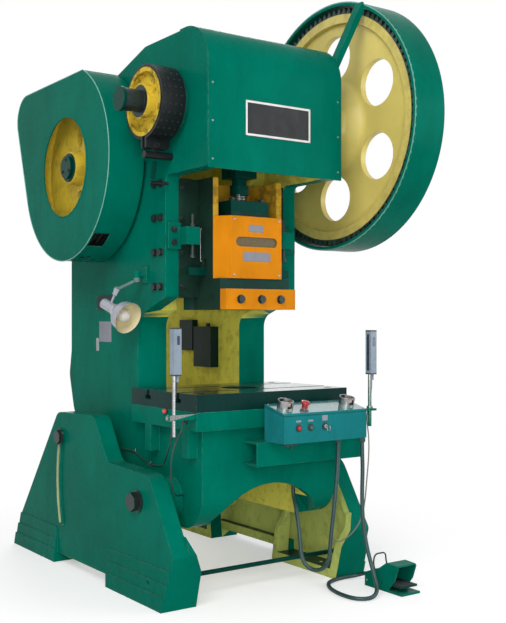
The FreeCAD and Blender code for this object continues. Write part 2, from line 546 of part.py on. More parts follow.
# ---------------------------------------------------------------- hood
hood_wall = 6
hood_side = [(-S.cheek_y - hood_wall, S.cheek_low - 7), (-S.cheek_y - hood_wall, S.head_top + hood_wall, 156),
             (-60, S.head_top + hood_wall), (-60, S.head_top), (-S.cheek_y, S.head_top, 150),
             (-S.cheek_y, S.cheek_low - 7)]
node("crank_hood", prism("X", rounded(hood_side), "-side_out + 1", 0, 0, "side_out * 2 - 2"))

# ---------------------------------------------------------------- brake
node("brake_drum", cut(fuse(ring("X", "-drum_out", 0, "crank_z", "drum_radius", 112, "drum_out - drum_in"),
                            ring("X", "-drum_out + 22", 0, "crank_z", 113, 50, 16),
                            ring("X", "-drum_out - 16", 0, "crank_z", 66, 50, "drum_out + 16 - drum_in")),
                       rod("X", "-drum_out - 20", 0, "crank_z", "journal + film", 200)))
band_ring = ring("X", "-drum_out + 2", 0, "crank_z", "drum_radius + air + band_thick", "drum_radius + air", 100)
band = cut(band_ring, box("-drum_out - 5", -9, "crank_z - 180", 120, 18, 80))
band_lugs = [box("-drum_out + 2", -19, "crank_z - drum_radius - 44", 100, 10, 36),
             box("-drum_out + 2", 9, "crank_z - drum_radius - 44", 100, 10, 36)]
lug_z = "crank_z - drum_radius - 30"
band_bore = rod("Y", "-drum_out + 52", -30, lug_z, 6.3, 60)
anchor_bore = rod("Y", "-drum_out + 52", -30, lug_z, 6.3, 60)
anchor_plate = cut(box("-drum_out + 42", -8, 1672, 20, 16, 52), anchor_bore)
anchor = fuse(rod("X", "-drum_out + 4", 0, 1660, 14, "drum_out - 4 - side_out"), anchor_plate)
band_bolt = fuse(bolt("Y", 1, "-drum_out + 52", 19, lug_z, 6, 56, head=11),
                 bolt("Y", -1, "-drum_out + 52", -19, lug_z, 6, 5, head=11))
spring_stud = rod("X", "-drum_out + 44", 24, 1560, 6, "drum_out - 44 - side_out")
node("brake_band", group(cut(fuse(band, *band_lugs), band_bore), anchor, band_bolt, spring_stud))

# ---------------------------------------------------------------- brake spring
# the spring pulls on the anchor bar of the band; its lower end holds on a stud in the frame
SPRING_TURNS = 8
SPRING_RADIUS = 10
SPRING_WIRE = 1.6
ANCHOR_Z = 1660
STUD = V(-S.drum_out + 52, 24, 1560)


def spring_frames(start, end, radius, turns, tail):
    """Points on the wire's centre line with its heading there, a quarter turn apart, plus the tails."""
    along = (end - start).normalize()
    side = along.cross(V(1, 0, 0)).normalize()
    other = along.cross(side)
    steps = turns * 4
    rise = along * ((end - start).Length / steps)
    frames = [(start - along * tail, along)]
    for i in range(steps + 1):
        angle = i * math.pi / 2
        spoke = side * math.cos(angle) + other * math.sin(angle)
        turn = other * math.cos(angle) - side * math.sin(angle)
        frames.append((start + rise * i + spoke * radius, (rise + turn * (radius * math.pi / 2)).normalize()))
    frames.append((end + along * tail, along))
    return frames


def leaving(first, tangent, last):
    """The arc from first to last that leaves along tangent."""
    chord = last - first
    bend = tangent.getAngle(chord)
    normal = (tangent - chord * (tangent.dot(chord) / chord.dot(chord))).normalize()
    middle = first + chord * 0.5 + normal * (chord.Length / 2 * math.tan(bend / 2))
    return Part.Arc(first, middle, last).toShape()


def joined_arcs(frames):
    """Two tangent arcs between each pair of neighbouring frames."""
    edges = []
    for (first, out), (last, into) in zip(frames, frames[1:]):
        gap = last - first
        spread = 2 * (1 - out.dot(into))
        along = gap.dot(out + into)
        reach = (math.sqrt(along * along + spread * gap.dot(gap)) - along) / spread
        joint = (first + out * reach + last - into * reach) * 0.5
        edges.append(leaving(first, out, joint))
        edges.append(leaving(last, into * -1, joint))
    return edges


def wire_gap(edges, wire):
    """Least gap between parts of the wire more than a turn apart along it."""
    points = [point for edge in edges for point in edge.discretize(5)]
    lengths = [0]
    for before, here in zip(points, points[1:]):
        lengths.append(lengths[-1] + (here - before).Length)
    far = 2 * math.pi * SPRING_RADIUS * 0.6
    least = min((a - b).Length for i, a in enumerate(points) for j, b in enumerate(points[:i])
                if lengths[i] - lengths[j] > far)
    return least - 2 * wire


pull = (STUD - V(STUD.x, 0, ANCHOR_Z)).normalize()
TAIL = 9
spring_top = V(STUD.x, 0, ANCHOR_Z) + pull * (14 + TAIL)
spring_low = STUD - pull * (6 + TAIL)
spring_edges = joined_arcs(spring_frames(spring_top, spring_low, SPRING_RADIUS, SPRING_TURNS, TAIL))
spring_path = Part.Wire(Part.__sortEdges__(spring_edges))
first_point = spring_top - pull * TAIL
spring_section = Part.Wire(Part.makeCircle(SPRING_WIRE, first_point, pull))
spring_shape = spring_path.makePipeShell([spring_section], True, False)
expected = math.pi * SPRING_WIRE ** 2 * spring_path.Length
print(f"brake spring: least gap {wire_gap(spring_edges, SPRING_WIRE):.2f} mm,",
      f"volume ratio {spring_shape.Volume / expected:.4f}")
node("brake_spring", made(spring_shape))

# ---------------------------------------------------------------- gear train
def toothed(teeth, module, bore):
    """A spur gear blank's face: straight-flanked teeth round a bore."""
    pitch = module * teeth / 2
    root, tip = pitch - 1.25 * module, pitch + module
    step = 2 * math.pi / teeth
    points = []
    for i in range(int(teeth)):
        for share, radius in ((-0.35, root), (-0.12, tip), (0.12, tip), (0.35, root)):
            angle = (i + share) * step
            points.append(V(0, radius * math.cos(angle), radius * math.sin(angle)))
    rim = Part.Face(Part.makePolygon(points + points[:1]))
    return rim.cut(Part.Face(Part.Wire(Part.makeCircle(bore, V(), V(1, 0, 0)))))


gear_width = S.gear_out - S.gear_in
gear_rim = made(toothed(S.gear_teeth, S.tooth_module, S.rim_in).extrude(V(gear_width, 0, 0)),
                "gear_in", 0, "crank_z")
hub_profile = [(S.drum_in, 70), (S.drum_in, 105, 6), (S.gear_web_in - 60, 118, 40), (S.gear_web_in, 190, 40),
               (S.gear_web_in, S.rim_in + 1), (S.gear_web_out, S.rim_in + 1), (S.gear_web_out, 150, 20),
               (S.gear_web_out + 30, 112, 20), (S.guard_out - 16, 108), (S.guard_out - 16, 70)]
gear_web = turned("X", hub_profile, 0, 0, "crank_z")
gear_holes = []
for i in range(6):
    angle = math.radians(60 * i + 30)
    gear_holes.append(rod("X", "gear_web_in - 80", f"gear_hole_ring * {math.cos(angle):.6f}",
                          f"crank_z + gear_hole_ring * {math.sin(angle):.6f}", "gear_hole", 200))
node("main_gear", cut(fuse(gear_rim, gear_web), *gear_holes))
node("gear_bush", ring("X", "drum_in + 1", 0, "crank_z", "70 - film", "journal + film",
                       "guard_out - drum_in - 18"))

half_pitch = math.pi / S.pinion_teeth
pinion_shape = toothed(S.pinion_teeth, S.tooth_module, S.shaft_radius + S.film)
away = math.degrees(math.atan2(S.shaft_z - S.crank_z, S.shaft_y))
mesh_turn = 180 + away + 180 / S.pinion_teeth + away * S.gear_teeth / S.pinion_teeth
node("pinion", made(pinion_shape.extrude(V(gear_width + 4, 0, 0)), "gear_in - 2", "shaft_y", "shaft_z",
                    FreeCAD.Rotation(V(1, 0, 0), mesh_turn)))
shaft_bar = rod("X", "-fly_out - 14", "shaft_y", "shaft_z", "shaft_radius", "fly_out + 14 + gear_out + 12")
node("drive_shaft", group(shaft_bar, rod("X", "-fly_out - 26", "shaft_y", "shaft_z", 48, 12)))
bearing = group(ring("X", "side_out - 58", "shaft_y", "shaft_z", "bearing_radius - film",
                     "shaft_radius + film", 70),
                ring("X", "side_gap", "shaft_y", "shaft_z", "bearing_radius - film",
                     "shaft_radius + film", 40))
node("bearings", group(bearing, mirror(bearing), crank_bush, mirror(crank_bush)))

fly_bore = S.shaft_radius + S.film
fly_profile = [(-S.fly_out, S.fly_rim), (-S.fly_out, S.fly_radius), (-S.fly_in, S.fly_radius),
               (-S.fly_in, S.fly_rim), (-S.fly_in - 42, S.fly_rim, 8), (-S.fly_in - 42, 75, 8),
               (-S.fly_in, 70), (-S.fly_in, fly_bore), (-S.fly_out - 8, fly_bore),
               (-S.fly_out - 8, 66), (-S.fly_in - 68, 72, 8), (-S.fly_in - 68, S.fly_rim, 8)]
flywheel_blank = turned("X", fly_profile, 0, "shaft_y", "shaft_z")
grooves = []
first_groove = -S.fly_out + (S.fly_out - S.fly_in - S.belt_pitch * (S.belt_count - 1)) / 2


def groove(centre, radius, deep, wide):
    """A vee groove's profile round X, cut into a rim of that radius."""
    return [(centre - wide / 2, radius + 2), (centre + wide / 2, radius + 2),
            (centre + wide / 2 - 3.5, radius - deep), (centre - wide / 2 + 3.5, radius - deep)]


groove_x = [first_groove + S.belt_pitch * i for i in range(int(S.belt_count))]
fly_grooves = [turned("X", groove(x, S.fly_radius, 12, 18), 0, "shaft_y", "shaft_z") for x in groove_x]
fly_openings = []
for i in range(4):
    angle = math.radians(90 * i)
    y, z = 150 * math.cos(angle), 150 * math.sin(angle)
    fly_openings.append(rod("X", -S.fly_out, f"shaft_y + {y:.4f}", f"shaft_z + {z:.4f}", 30, 200))
    inner_y, inner_z = 115 * math.cos(angle), 115 * math.sin(angle)
    fly_openings.append(rod("X", -S.fly_out, f"shaft_y + {inner_y:.4f}", f"shaft_z + {inner_z:.4f}", 24, 200))
node("flywheel", cut(flywheel_blank, *fly_grooves, *fly_openings))

# ---------------------------------------------------------------- motor, pulley and belts
pulley_profile = [(-S.fly_out, 20), (-S.fly_out, S.pulley_radius),
                  (-S.fly_in, S.pulley_radius), (-S.fly_in, 20)]
pulley_grooves = [turned("X", groove(x, S.pulley_radius, 12, 18), 0, "motor_y", "motor_z") for x in groove_x]
pulley = cut(turned("X", pulley_profile, 0, "motor_y", "motor_z"), *pulley_grooves)
motor_shaft = rod("X", "-fly_out - 4", "motor_y", "motor_z", 20 - S.film, "fly_out + 4 - 296 + 39")
node("motor_rotor", group(pulley, motor_shaft))

belt_angle = math.atan2(S.motor_z - S.shaft_z, S.motor_y - S.shaft_y)
belt_reach = math.hypot(S.motor_z - S.shaft_z, S.motor_y - S.shaft_y)


def loop_edges(big, small):
    """The outline round two circles, drawn about the shaft, the small one at the motor."""
    lean = math.acos((big - small) / belt_reach)
    centre = V(belt_reach * math.cos(belt_angle), belt_reach * math.sin(belt_angle), 0)

    def on(middle, radius, angle):
        return middle + V(math.cos(angle), math.sin(angle), 0) * radius

    up, down = belt_angle + lean, belt_angle - lean
    return [Part.Arc(on(V(), big, up), on(V(), big, belt_angle + math.pi), on(V(), big, down)),
            Part.LineSegment(on(V(), big, down), on(centre, small, down)),
            Part.Arc(on(centre, small, down), on(centre, small, belt_angle), on(centre, small, up)),
            Part.LineSegment(on(centre, small, up), on(V(), big, up))]


belts = []
for x in groove_x:
    outer_loop = loop_edges(S.fly_radius - 1, S.pulley_radius - 1)
    inner_loop = loop_edges(S.fly_radius - 10, S.pulley_radius - 10)
    belts.append(cut(prism("X", outer_loop, x - 4.5, "shaft_y", "shaft_z", 9),
                     prism("X", inner_loop, x - 6, "shaft_y", "shaft_z", 12)))
node("drive_belts", group(*belts))

motor_x = -296
shield = S.motor_radius + 8
motor_profile = [(motor_x, 20), (motor_x, 60, 6), (motor_x + 18, shield, 8), (motor_x + 50, shield),
                 (motor_x + 50, S.motor_radius), (motor_x + 290, S.motor_radius), (motor_x + 290, shield),
                 (motor_x + 318, shield, 8), (motor_x + 320, 106), (motor_x + 400, 104, 18),
                 (motor_x + 400, 0), (motor_x + 40, 0), (motor_x + 40, 20)]
motor_parts = [turned("X", motor_profile, 0, "motor_y", "motor_z")]
for i in range(18):
    turn = FreeCAD.Rotation(V(1, 0, 0), 20 * i + 10)
    fin = Part.makeBox(238, 4, 12, V(0, -2, S.motor_radius - 2))
    motor_parts.append(made(fin, motor_x + 51, "motor_y", "motor_z", turn))
for foot_x in (motor_x + 60, motor_x + 240):
    motor_parts.append(box(foot_x, "motor_y - 108", "motor_z - motor_foot", 46, 216, 18))
    for foot_y in (-95, 65):
        motor_parts.append(box(foot_x, f"motor_y + {foot_y}", "motor_z - motor_foot + 17", 46, 30, 60))
motor_parts.append(box(motor_x + 120, "motor_y - 55", "motor_z + motor_radius - 6", 110, 110, 62))
node("motor", fuse(*motor_parts))
plate_top = "motor_z - motor_foot"
bracket = [box("-bracket_half", "rear_y", f"{plate_top} - 20", 460, "motor_y + 125 - rear_y", 20),
           box("-bracket_half", "rear_y", "bracket_low", "bracket_half * 2", "bracket_plate",
               f"{plate_top} - bracket_low")]
shelf_low = S.motor_z - S.motor_foot - 19
gusset_back = S.rear_y + S.bracket_plate - 1
gusset = [(gusset_back, S.bracket_low + 20), (gusset_back, shelf_low), (S.motor_y + 120, shelf_low),
          (S.motor_y + 120, shelf_low - 22)]
for gusset_x in (-290, -20, 130):
    bracket.append(prism("X", rounded(gusset), gusset_x, 0, 0, 16))
bracket_bores = [rod("Y", x, "rear_y - 1", z, 8 + S.film, 30) for x, z in MOTOR_BOLTS]
motor_bracket = cut(fuse(*bracket), *bracket_bores)
frame_screws += [bolt("Y", 1, x, "rear_y + bracket_plate", z, 8, 46, head=14) for x, z in MOTOR_BOLTS]
node("frame_screws", group(*frame_screws))

# ---------------------------------------------------------------- guards
def guard_edges(inset):
    """Belt guard outline: a big circle, a small one at the motor, flat on top."""
    big, small = S.guard_radius - inset, S.motor_corner - inset
    centre, corner = V(S.shaft_y, S.shaft_z + 10, 0), V(S.motor_y, S.motor_z, 0)
    top = S.motor_z + small
    across = corner - centre
    lean = math.atan2(across.y, across.x) - math.acos((big - small) / across.Length)
    normal = V(math.cos(lean), math.sin(lean), 0)
    meet = V(centre.x - math.sqrt(big * big - (top - centre.y) ** 2), top, 0)
    around = V(math.cos(lean / 2 + math.pi / 4), math.sin(lean / 2 + math.pi / 4), 0)
    return [Part.Arc(meet, centre + V(-1, -0.35, 0).normalize() * big, centre + normal * big),
            Part.LineSegment(centre + normal * big, corner + normal * small),
            Part.Arc(corner + normal * small, corner + around * small, corner + V(0, small, 0)),
            Part.LineSegment(corner + V(0, small, 0), meet)]


guard_shell = cut(prism("X", guard_edges(0), "-guard_face", 0, 0, "guard_face - guard_back"),
                  prism("X", guard_edges(S.sheet), "-guard_face + sheet", 0, 0, "guard_face"))
slits = []
for angle, half, start, length in ((235, 42, 8, 70), (257, 20, 30, 44)):
    turn = FreeCAD.Rotation(V(1, 0, 0), angle)
    slit = Part.makeBox(length, S.sheet * 8, half * 2, V(start, S.guard_radius - S.sheet * 4, -half))
    slits.append(made(slit, "-guard_face", "shaft_y", "shaft_z + 10", turn))
guard_window = rod("X", "-guard_face - 5", "shaft_y", "shaft_z", "guard_hole", 20)
node("belt_guard", cut(guard_shell, guard_window, *slits))

gear_ring = ring("X", "guard_in", 0, "crank_z", "gear_guard", "gear_guard - sheet", "guard_out - guard_in")
gear_lip = ring("X", "guard_in", 0, "crank_z", "gear_guard - 1", "gear_guard - 16", 4)
PINION_GUARD = 145
guard_length = "guard_out - guard_in"
pinion_ring = ring("X", "guard_in", "shaft_y", "shaft_z",
                   PINION_GUARD, f"{PINION_GUARD} - sheet", guard_length)
guard_reach = "guard_out - guard_in + 10"
pinion_room = rod("X", "guard_in - 5", "shaft_y", "shaft_z", f"{PINION_GUARD} - sheet", guard_reach)
gear_room = rod("X", "guard_in - 5", 0, "crank_z", "gear_guard - sheet", guard_reach)
main_part = cut(fuse(gear_ring, gear_lip), pinion_room)
pinion_part = cut(pinion_ring, gear_room)
node("gear_guard", fuse(main_part, pinion_part))

strap_plate = [(S.side_out, 1995), (S.side_out + 10, 1995), (S.side_out + 10, 2040), (S.guard_in - 1, 2290),
               (S.guard_in, 2290), (S.guard_in, 2331), (S.guard_in - 10, 2331), (S.side_out, 2075)]


def strap(turn):
    """A strap from the frame's side to the lip of the gear guard, turned about the crank's axis."""
    low_corner = Part.makePolygon([V(x, -225, z - S.crank_z) for x, z in strap_plate + strap_plate[:1]])
    shape = Part.Face(low_corner).extrude(V(0, 40, 0))
    return made(shape, 0, 0, "crank_z", FreeCAD.Rotation(V(1, 0, 0), turn))


tabs = [box("-guard_back - 12", "shaft_y - 20", "shaft_z + 10 - guard_radius + sheet + 0.6",
            "guard_back + 12 - side_out", 40, 44),
        box("-guard_back - 12", 480, 1975, "guard_back + 12 - side_out", 40,
            "motor_z + motor_corner - sheet - 1975"),
        box("-guard_back - 12", "shaft_y - guard_radius + sheet + 0.6", "shaft_z - 10",
            "guard_back + 12 - side_out", 44, 40)]
node("brackets", group(motor_bracket, strap(0), strap(-100), strap(190), *tabs))

# ---------------------------------------------------------------- control box
rail_view = [(-S.rail_front, S.box_low - S.rail_high), (-S.apron_y, S.box_low - S.rail_high),
             (-S.apron_y, S.box_low - S.rail_high + S.rail_wall),
             (-S.rail_front + S.rail_wall, S.box_low - S.rail_high + S.rail_wall),
             (-S.rail_front + S.rail_wall, S.box_low - S.rail_wall), (-S.apron_y, S.box_low - S.rail_wall),
             (-S.apron_y, S.box_low), (-S.rail_front, S.box_low)]
node("box_bracket", prism("X", rounded(rail_view), "rail_left", 0, 0, "rail_right - rail_left"))

box_view = [(-S.box_front, S.box_low), (-S.box_back, S.box_low),
            (-S.box_back, S.box_low + S.box_back_high, 4), (-S.box_front, S.box_low + S.box_front_high, 4)]
case = prism("X", rounded(box_view), "box_left", 0, 0, "box_right - box_left")
lid_slope = math.atan2(S.box_back_high - S.box_front_high, S.box_front - S.box_back)
LID_TURN = FreeCAD.Rotation(V(1, 0, 0), math.degrees(lid_slope))
LID_Y = -340
lid_z = S.box_low + S.box_front_high + (S.box_front + LID_Y) * math.tan(lid_slope)
box_middle = (S.box_left + S.box_right) / 2


def on_lid(x, pieces):
    """Cylinders square to the sloping lid: (radius, start, length) each, fused."""
    shape = None
    for radius, start, length in pieces:
        part = Part.makeCylinder(radius, length, V(0, 0, start))
        shape = shape.fuse(part) if shape else part
    return made(shape, x, LID_Y, lid_z, LID_TURN)


def on_front(x, z, pieces):
    """Cylinders that stick out of the box front."""
    shape = None
    for radius, start, length in pieces:
        part = Part.makeCylinder(radius, length, V(0, 0, start))
        shape = shape.fuse(part) if shape else part
    return made(shape, x, "-box_front", z, FreeCAD.Rotation(V(0, 0, 1), V(0, -1, 0)))


PALM_X = (box_middle - 150, box_middle + 148)
STOP_X = box_middle - 56
FRONT_X = {"red_button": box_middle - 132, "green_button": box_middle - 76}
KEY_X = box_middle - 8
FRONT_Z = S.box_low + 56
pockets = [on_lid(x, [(12 + S.air, -27, 60)]) for x in (*PALM_X, STOP_X)]
pockets += [on_front(x, FRONT_Z, [(8 + S.air, -22, 40)]) for x in (*FRONT_X.values(), KEY_X)]
lock_collars = [on_front(x, FRONT_Z, [(13, 0, 3)]) for x in (*FRONT_X.values(), KEY_X)]
collar_holes = [on_front(x, FRONT_Z, [(8 + S.air, -1, 10)]) for x in (*FRONT_X.values(), KEY_X)]
guards = []
for x in PALM_X:
    guards.append(cut(on_lid(x, [(30, 0, 30)]), on_lid(x, [(27, -5, 60)]),
                      made(Part.makeBox(20, 80, 24, V(-10, -40, 6)), x, LID_Y, lid_z, LID_TURN)))
node("control_box", group(cut(fuse(case, *lock_collars), *pockets, *collar_holes), *guards))
node("left_palm_button", on_lid(PALM_X[0], [(12, -19, 32), (22, 12, 9)]))
node("right_palm_button", on_lid(PALM_X[1], [(12, -19, 32), (22, 12, 9)]))
node("stop_button", on_lid(STOP_X, [(12, -19, 34), (17, 12, 12)]))
for label, x in FRONT_X.items():
    node(label, on_front(x, FRONT_Z, [(8, -16, 24)]))
key_blade = made(Part.makeBox(2.4, 22, 30, V(-1.2, -17, 7)), KEY_X, "-box_front", FRONT_Z,
                 FreeCAD.Rotation(V(0, 0, 1), V(0, -1, 0)))
node("key", fuse(on_front(KEY_X, FRONT_Z, [(8, -21, 28)]), key_blade))

# ---------------------------------------------------------------- light curtain
heads, mounts = [], []
for rod_x, rod_y, low, side in (("left_rod_x", "left_rod_y", "left_head_low", 1),
                                ("right_rod_x", "right_rod_y", "right_head_low", 0)):
    heads.append(box(f"{rod_x} - 8", f"{rod_y} - head_side / 2", low, "head_side", "head_side", "head_high"))
    heads.append(rod("Z", f"{rod_x} + 15", f"{rod_y} + 2", f"{low} - 22", 6, "22"))
mounts.append(rod("Z", "left_rod_x", "left_rod_y", 625, "rod_radius", "left_head_low - 625"))
mounts.append(cut(box("-462", "left_rod_y - 12", 683, "462 - bolster_wide / 2", 24, 20),
                  rod("Z", "left_rod_x", "left_rod_y", 680, "rod_radius + film", 40),
                  rod("X", -470, "left_rod_y", 693, 5 + S.film, 14)))
mounts.append(bolt("X", -1, "-462", "left_rod_y", 693, 5, 5, head=9))
mounts.append(rod("Z", "right_rod_x", "right_rod_y", 630, "rod_radius", "right_head_low - 630"))
mounts.append(cut(box("box_right", "right_rod_y - 12", 690, 60, 24, 8),
                  rod("Z", "right_rod_x", "right_rod_y", 680, "rod_radius + film", 40)))
mounts.append(ring("Z", "right_rod_x", "right_rod_y", "698", 12, "rod_radius + film", 10))
node("light_curtain_heads", group(*heads))
node("light_curtain_mounts", group(*mounts))

# ---------------------------------------------------------------- work lamp
LAMP_ROOT = V(-S.side_out, 206, 1219)
LAMP_KNEE = V(-410, 262, 1160)
LAMP_TIP = V(-425, 292, 1092)
SHADE_AIM = V(0.218, -0.895, -0.389).normalize()


def bar_between(start, end, radius):
    along = end - start
    return made(Part.makeCylinder(radius, along.Length), start.x, start.y, start.z,
                FreeCAD.Rotation(V(0, 0, 1), along))


arm_axis = V(-S.side_out - 34, LAMP_ROOT.y, LAMP_ROOT.z - 21)
arm_way = (LAMP_KNEE - arm_axis).normalize()
drop_way = (LAMP_TIP - LAMP_KNEE).normalize()
knee_axis = arm_way.cross(drop_way).normalize()
node("lamp_bracket", fuse(box("-side_out - 8", LAMP_ROOT.y - 28, LAMP_ROOT.z - 34, 8, 56, 68),
                          rod("X", "-side_out - 34", LAMP_ROOT.y, LAMP_ROOT.z, 11, 27),
                          rod("Z", arm_axis.x, arm_axis.y, LAMP_ROOT.z - 12, 12, 26),
                          rod("Z", arm_axis.x, arm_axis.y, LAMP_ROOT.z - 33, 6, 22)))
collar = ring("Z", arm_axis.x, arm_axis.y, LAMP_ROOT.z - 30, 13, "6 + film", "18 - air")
knee_disc = bar_between(LAMP_KNEE - knee_axis * 4, LAMP_KNEE + knee_axis * 4, 13)
knee_bore = bar_between(LAMP_KNEE - knee_axis * 20, LAMP_KNEE + knee_axis * 20, 3.05)
arm_bar = bar_between(arm_axis + arm_way * 13, LAMP_KNEE - arm_way * 12, 7)
node("lamp_arm", cut(fuse(collar, knee_disc, arm_bar), knee_bore))
FORK = FreeCAD.Rotation(drop_way, knee_axis.cross(drop_way), knee_axis, "XZY")


def at_knee(along, wide, thick, start, level):
    """A block of the fork, drawn along the drop from the knee and level along the knee's axis."""
    block = Part.makeBox(along, wide, thick, V(start, -wide / 2, level))
    return made(block, LAMP_KNEE.x, LAMP_KNEE.y, LAMP_KNEE.z, FORK)


socket = fuse(at_knee(23, 18, 4, -5, 4 + S.air), at_knee(23, 18, 4, -5, -8 - S.air),
              at_knee(8, 18, 16 + 2 * S.air, 14, -8 - S.air),
              bar_between(LAMP_KNEE - knee_axis * 10, LAMP_KNEE + knee_axis * 10, 3),
              bar_between(LAMP_KNEE + drop_way * 21, LAMP_TIP, 5),
              bar_between(LAMP_TIP - SHADE_AIM * 38, LAMP_TIP + SHADE_AIM * 34, 21))
shade_curve = [(34.2, 19), (34.2, 26), (52, 33, 10), (78, 56, 20), (118, 64), (118, 62.6), (79, 54.6, 20),
               (53, 31.6, 8), (35.7, 24.8), (35.7, 19)]
shade = turned("X", shade_curve, LAMP_TIP.x, LAMP_TIP.y, LAMP_TIP.z)
shade.Placement.Rotation = FreeCAD.Rotation(V(1, 0, 0), SHADE_AIM)
bulb_place = LAMP_TIP + SHADE_AIM * 34.3
bulb = turned("X", [(0, 0), (0, 15), (22, 16, 8), (44, 27, 14), (74, 24, 20), (80, 0)],
              bulb_place.x, bulb_place.y, bulb_place.z)
bulb.Placement.Rotation = FreeCAD.Rotation(V(1, 0, 0), SHADE_AIM)
node("lamp_head", group(socket, shade, bulb))

# ---------------------------------------------------------------- foot switch
pedal_left = "pedal_x - pedal_half"
foot_base = box(pedal_left, "pedal_y - pedal_long / 2", 0, "pedal_half * 2", "pedal_long", 8)
rear = [(S.pedal_y + 20, 8), (S.pedal_y + 102, 8), (S.pedal_y + 102, 52, 12), (S.pedal_y + 40, 78, 10),
        (S.pedal_y + 20, 84)]
hood_view = [(S.pedal_y - 86, 108, 8), (S.pedal_y - 20, 112, 20), (S.pedal_y + 21, 84), (S.pedal_y + 21, 8),
             (S.pedal_y - 30, 8), (S.pedal_y - 66, 52)]
hood = cut(prism("X", rounded(hood_view), pedal_left, 0, 0, "pedal_half * 2"),
           box(f"{pedal_left} + 4", "pedal_y - 200", 8, "pedal_half * 2 - 8", 220, 72),
           box(f"{pedal_left} + 4", "pedal_y - 200", 70, "pedal_half * 2 - 8", 200, 34))
housing = prism("X", rounded(rear), pedal_left, 0, 0, "pedal_half * 2")
gland = rod("Y", "pedal_x + 4", "pedal_y + 102", 32, 13, 14)
pivot_holes = rod("X", f"{pedal_left} - 1", "pedal_y + 8", 30, 4.3, "pedal_half * 2 + 2")
HANDLE_FOOT = V(0, S.pedal_y + 60, 69.6)
HANDLE_WAY = V(0, 26, 62).normalize()
handle_holes = []
for side in (-34, 34):
    foot = HANDLE_FOOT + V(S.pedal_x + side, 0, 0)
    handle_holes.append(bar_between(foot - HANDLE_WAY * 12, foot + HANDLE_WAY * 5, 3 + S.film))
node("foot_switch", cut(fuse(foot_base, hood, housing, gland), pivot_holes, *handle_holes))
pedal_plate = box(f"{pedal_left} + 5", "pedal_y - 92", 26, "pedal_half * 2 - 10", 106, 8)
pedal_axle = rod("X", f"{pedal_left} + 0.5", "pedal_y + 8", 30, 4, "pedal_half * 2 - 1")
node("foot_pedal", fuse(pedal_plate, pedal_axle))

# ---------------------------------------------------------------- bent wire, conduits and cables
def route_edges(points):
    """Straight runs joined by tangent arcs, and the arcs' radii."""
    corners, radii = [], []
    for before, here, after in zip(points, points[1:], points[2:]):
        way_in, way_out = (before - here), (after - here)
        half = math.pi / 2 - way_in.getAngle(way_out) / 2
        reach = 0.45 * min(way_in.Length, way_out.Length)
        radius = reach / math.tan(half)
        bisector = (way_in.normalize() + way_out.normalize()).normalize()
        middle = here + bisector * (radius / math.cos(half) - radius)
        corners.append((here + way_in * reach, middle, here + way_out * reach))
        radii.append(radius)
    edges, last = [], points[0]
    for start, middle, end in corners:
        edges.append(Part.LineSegment(last, start).toShape())
        edges.append(Part.Arc(start, middle, end).toShape())
        last = end
    edges.append(Part.LineSegment(last, points[-1]).toShape())
    return edges, radii


def tube(name, points, diameter):
    """A round tube along a route; says its radii and how its volume compares with its length."""
    points = [V(*point) for point in points]
    edges, radii = route_edges(points)
    path = Part.Wire(edges)
    circle = Part.makeCircle(diameter / 2, points[0], points[1] - points[0])
    shape = path.makePipeShell([Part.Wire(circle)], True, False)
    ratio = shape.Volume / (math.pi * diameter ** 2 / 4 * path.Length)
    tightest = min(radii)
    print(f"{name}: {path.Length:.0f} mm, tightest radius {tightest:.0f} mm, volume ratio {ratio:.4f}")
    if not 0.98 < ratio < 1.02:
        raise RuntimeError(f"{name} has the wrong volume")
    return made(shape)


left_foot = HANDLE_FOOT + V(S.pedal_x - 34, 0, 0)
right_foot = HANDLE_FOOT + V(S.pedal_x + 34, 0, 0)
handle_wire = [
    left_foot - HANDLE_WAY * 11.9, left_foot + HANDLE_WAY * 24, (S.pedal_x - 28, S.pedal_y + 66, 126),
    (S.pedal_x + 28, S.pedal_y + 66, 126), right_foot + HANDLE_WAY * 24, right_foot - HANDLE_WAY * 11.9]
node("foot_switch_handle", tube("foot_switch_handle", handle_wire, 6))

CONDUIT = 16
CABLE = 5
box_conduit = [
    (220, -345, 590), (220, -345, 540), (217, -344, 470), (211, -341, 385), (203, -336, 290),
    (194, -331, 200), (190, -328, 115), (174.5, -297.8, 78), (152.5, -255.2, 78), (137, -225, 112),
    (140, -212, 190), (149, -188, 255), (158, -162, 308), (168, -132, 350), (168, -132, 395)]
pedal_conduit = [
    (300, -392, 590), (300, -392, 540), (303, -392, 470), (299, -393, 390), (297, -396, 310),
    (301, -402, 235), (307, -412, 170), (312, -430, 110), (308, -458, 58), (289, -490, 22),
    (243, -507, 9), (194, -482, 9), (184, -430, 9), (190, -366, 9), (212, -300, 9),
    (255, -245, 9), (315, -224, 9), (368, -220, 9), (408, -240, 14),
    (424, -282, 32), (424, -314, 32)]
left_long_cable = [
    (-428, -223, 820), (-428, -222, 770), (-431, -203, 715), (-430, -195, 655), (-424, -175, 600),
    (-404, -120, 556), (-372, -50, 522), (-336, 20, 492), (-319, 90, 474), (-318.5, 160, 472),
    (-319, 220, 490), (-318.5, 285, 509), (-319.5, 346, 510), (-326, 396, 513), (-340, 436, 522),
    (-352, 470, 534), (-315.2, 470, 534)]
left_short_cable = [
    (-405, -225, 683), (-405, -225, 650), (-430, -222, 610), (-446, -218, 560), (-446, -212, 500),
    (-430, -192, 450), (-400, -158, 412), (-362, -118, 392), (-335, -92, 388), (-315.2, -92, 388)]
right_cable = [
    (362, -378, 808), (362, -378, 760), (358, -361, 705), (352, -361, 650), (350, -376, 585),
    (349, -376, 510), (345, -370, 430), (344, -362, 350), (341, -350, 280), (333, -322, 225),
    (318, -280, 180), (304, -240, 158), (302, -212, 175), (314, -196, 220), (330, -182, 270), (345, -168, 320),
    (342, -160, 352), (315.2, -160, 356)]
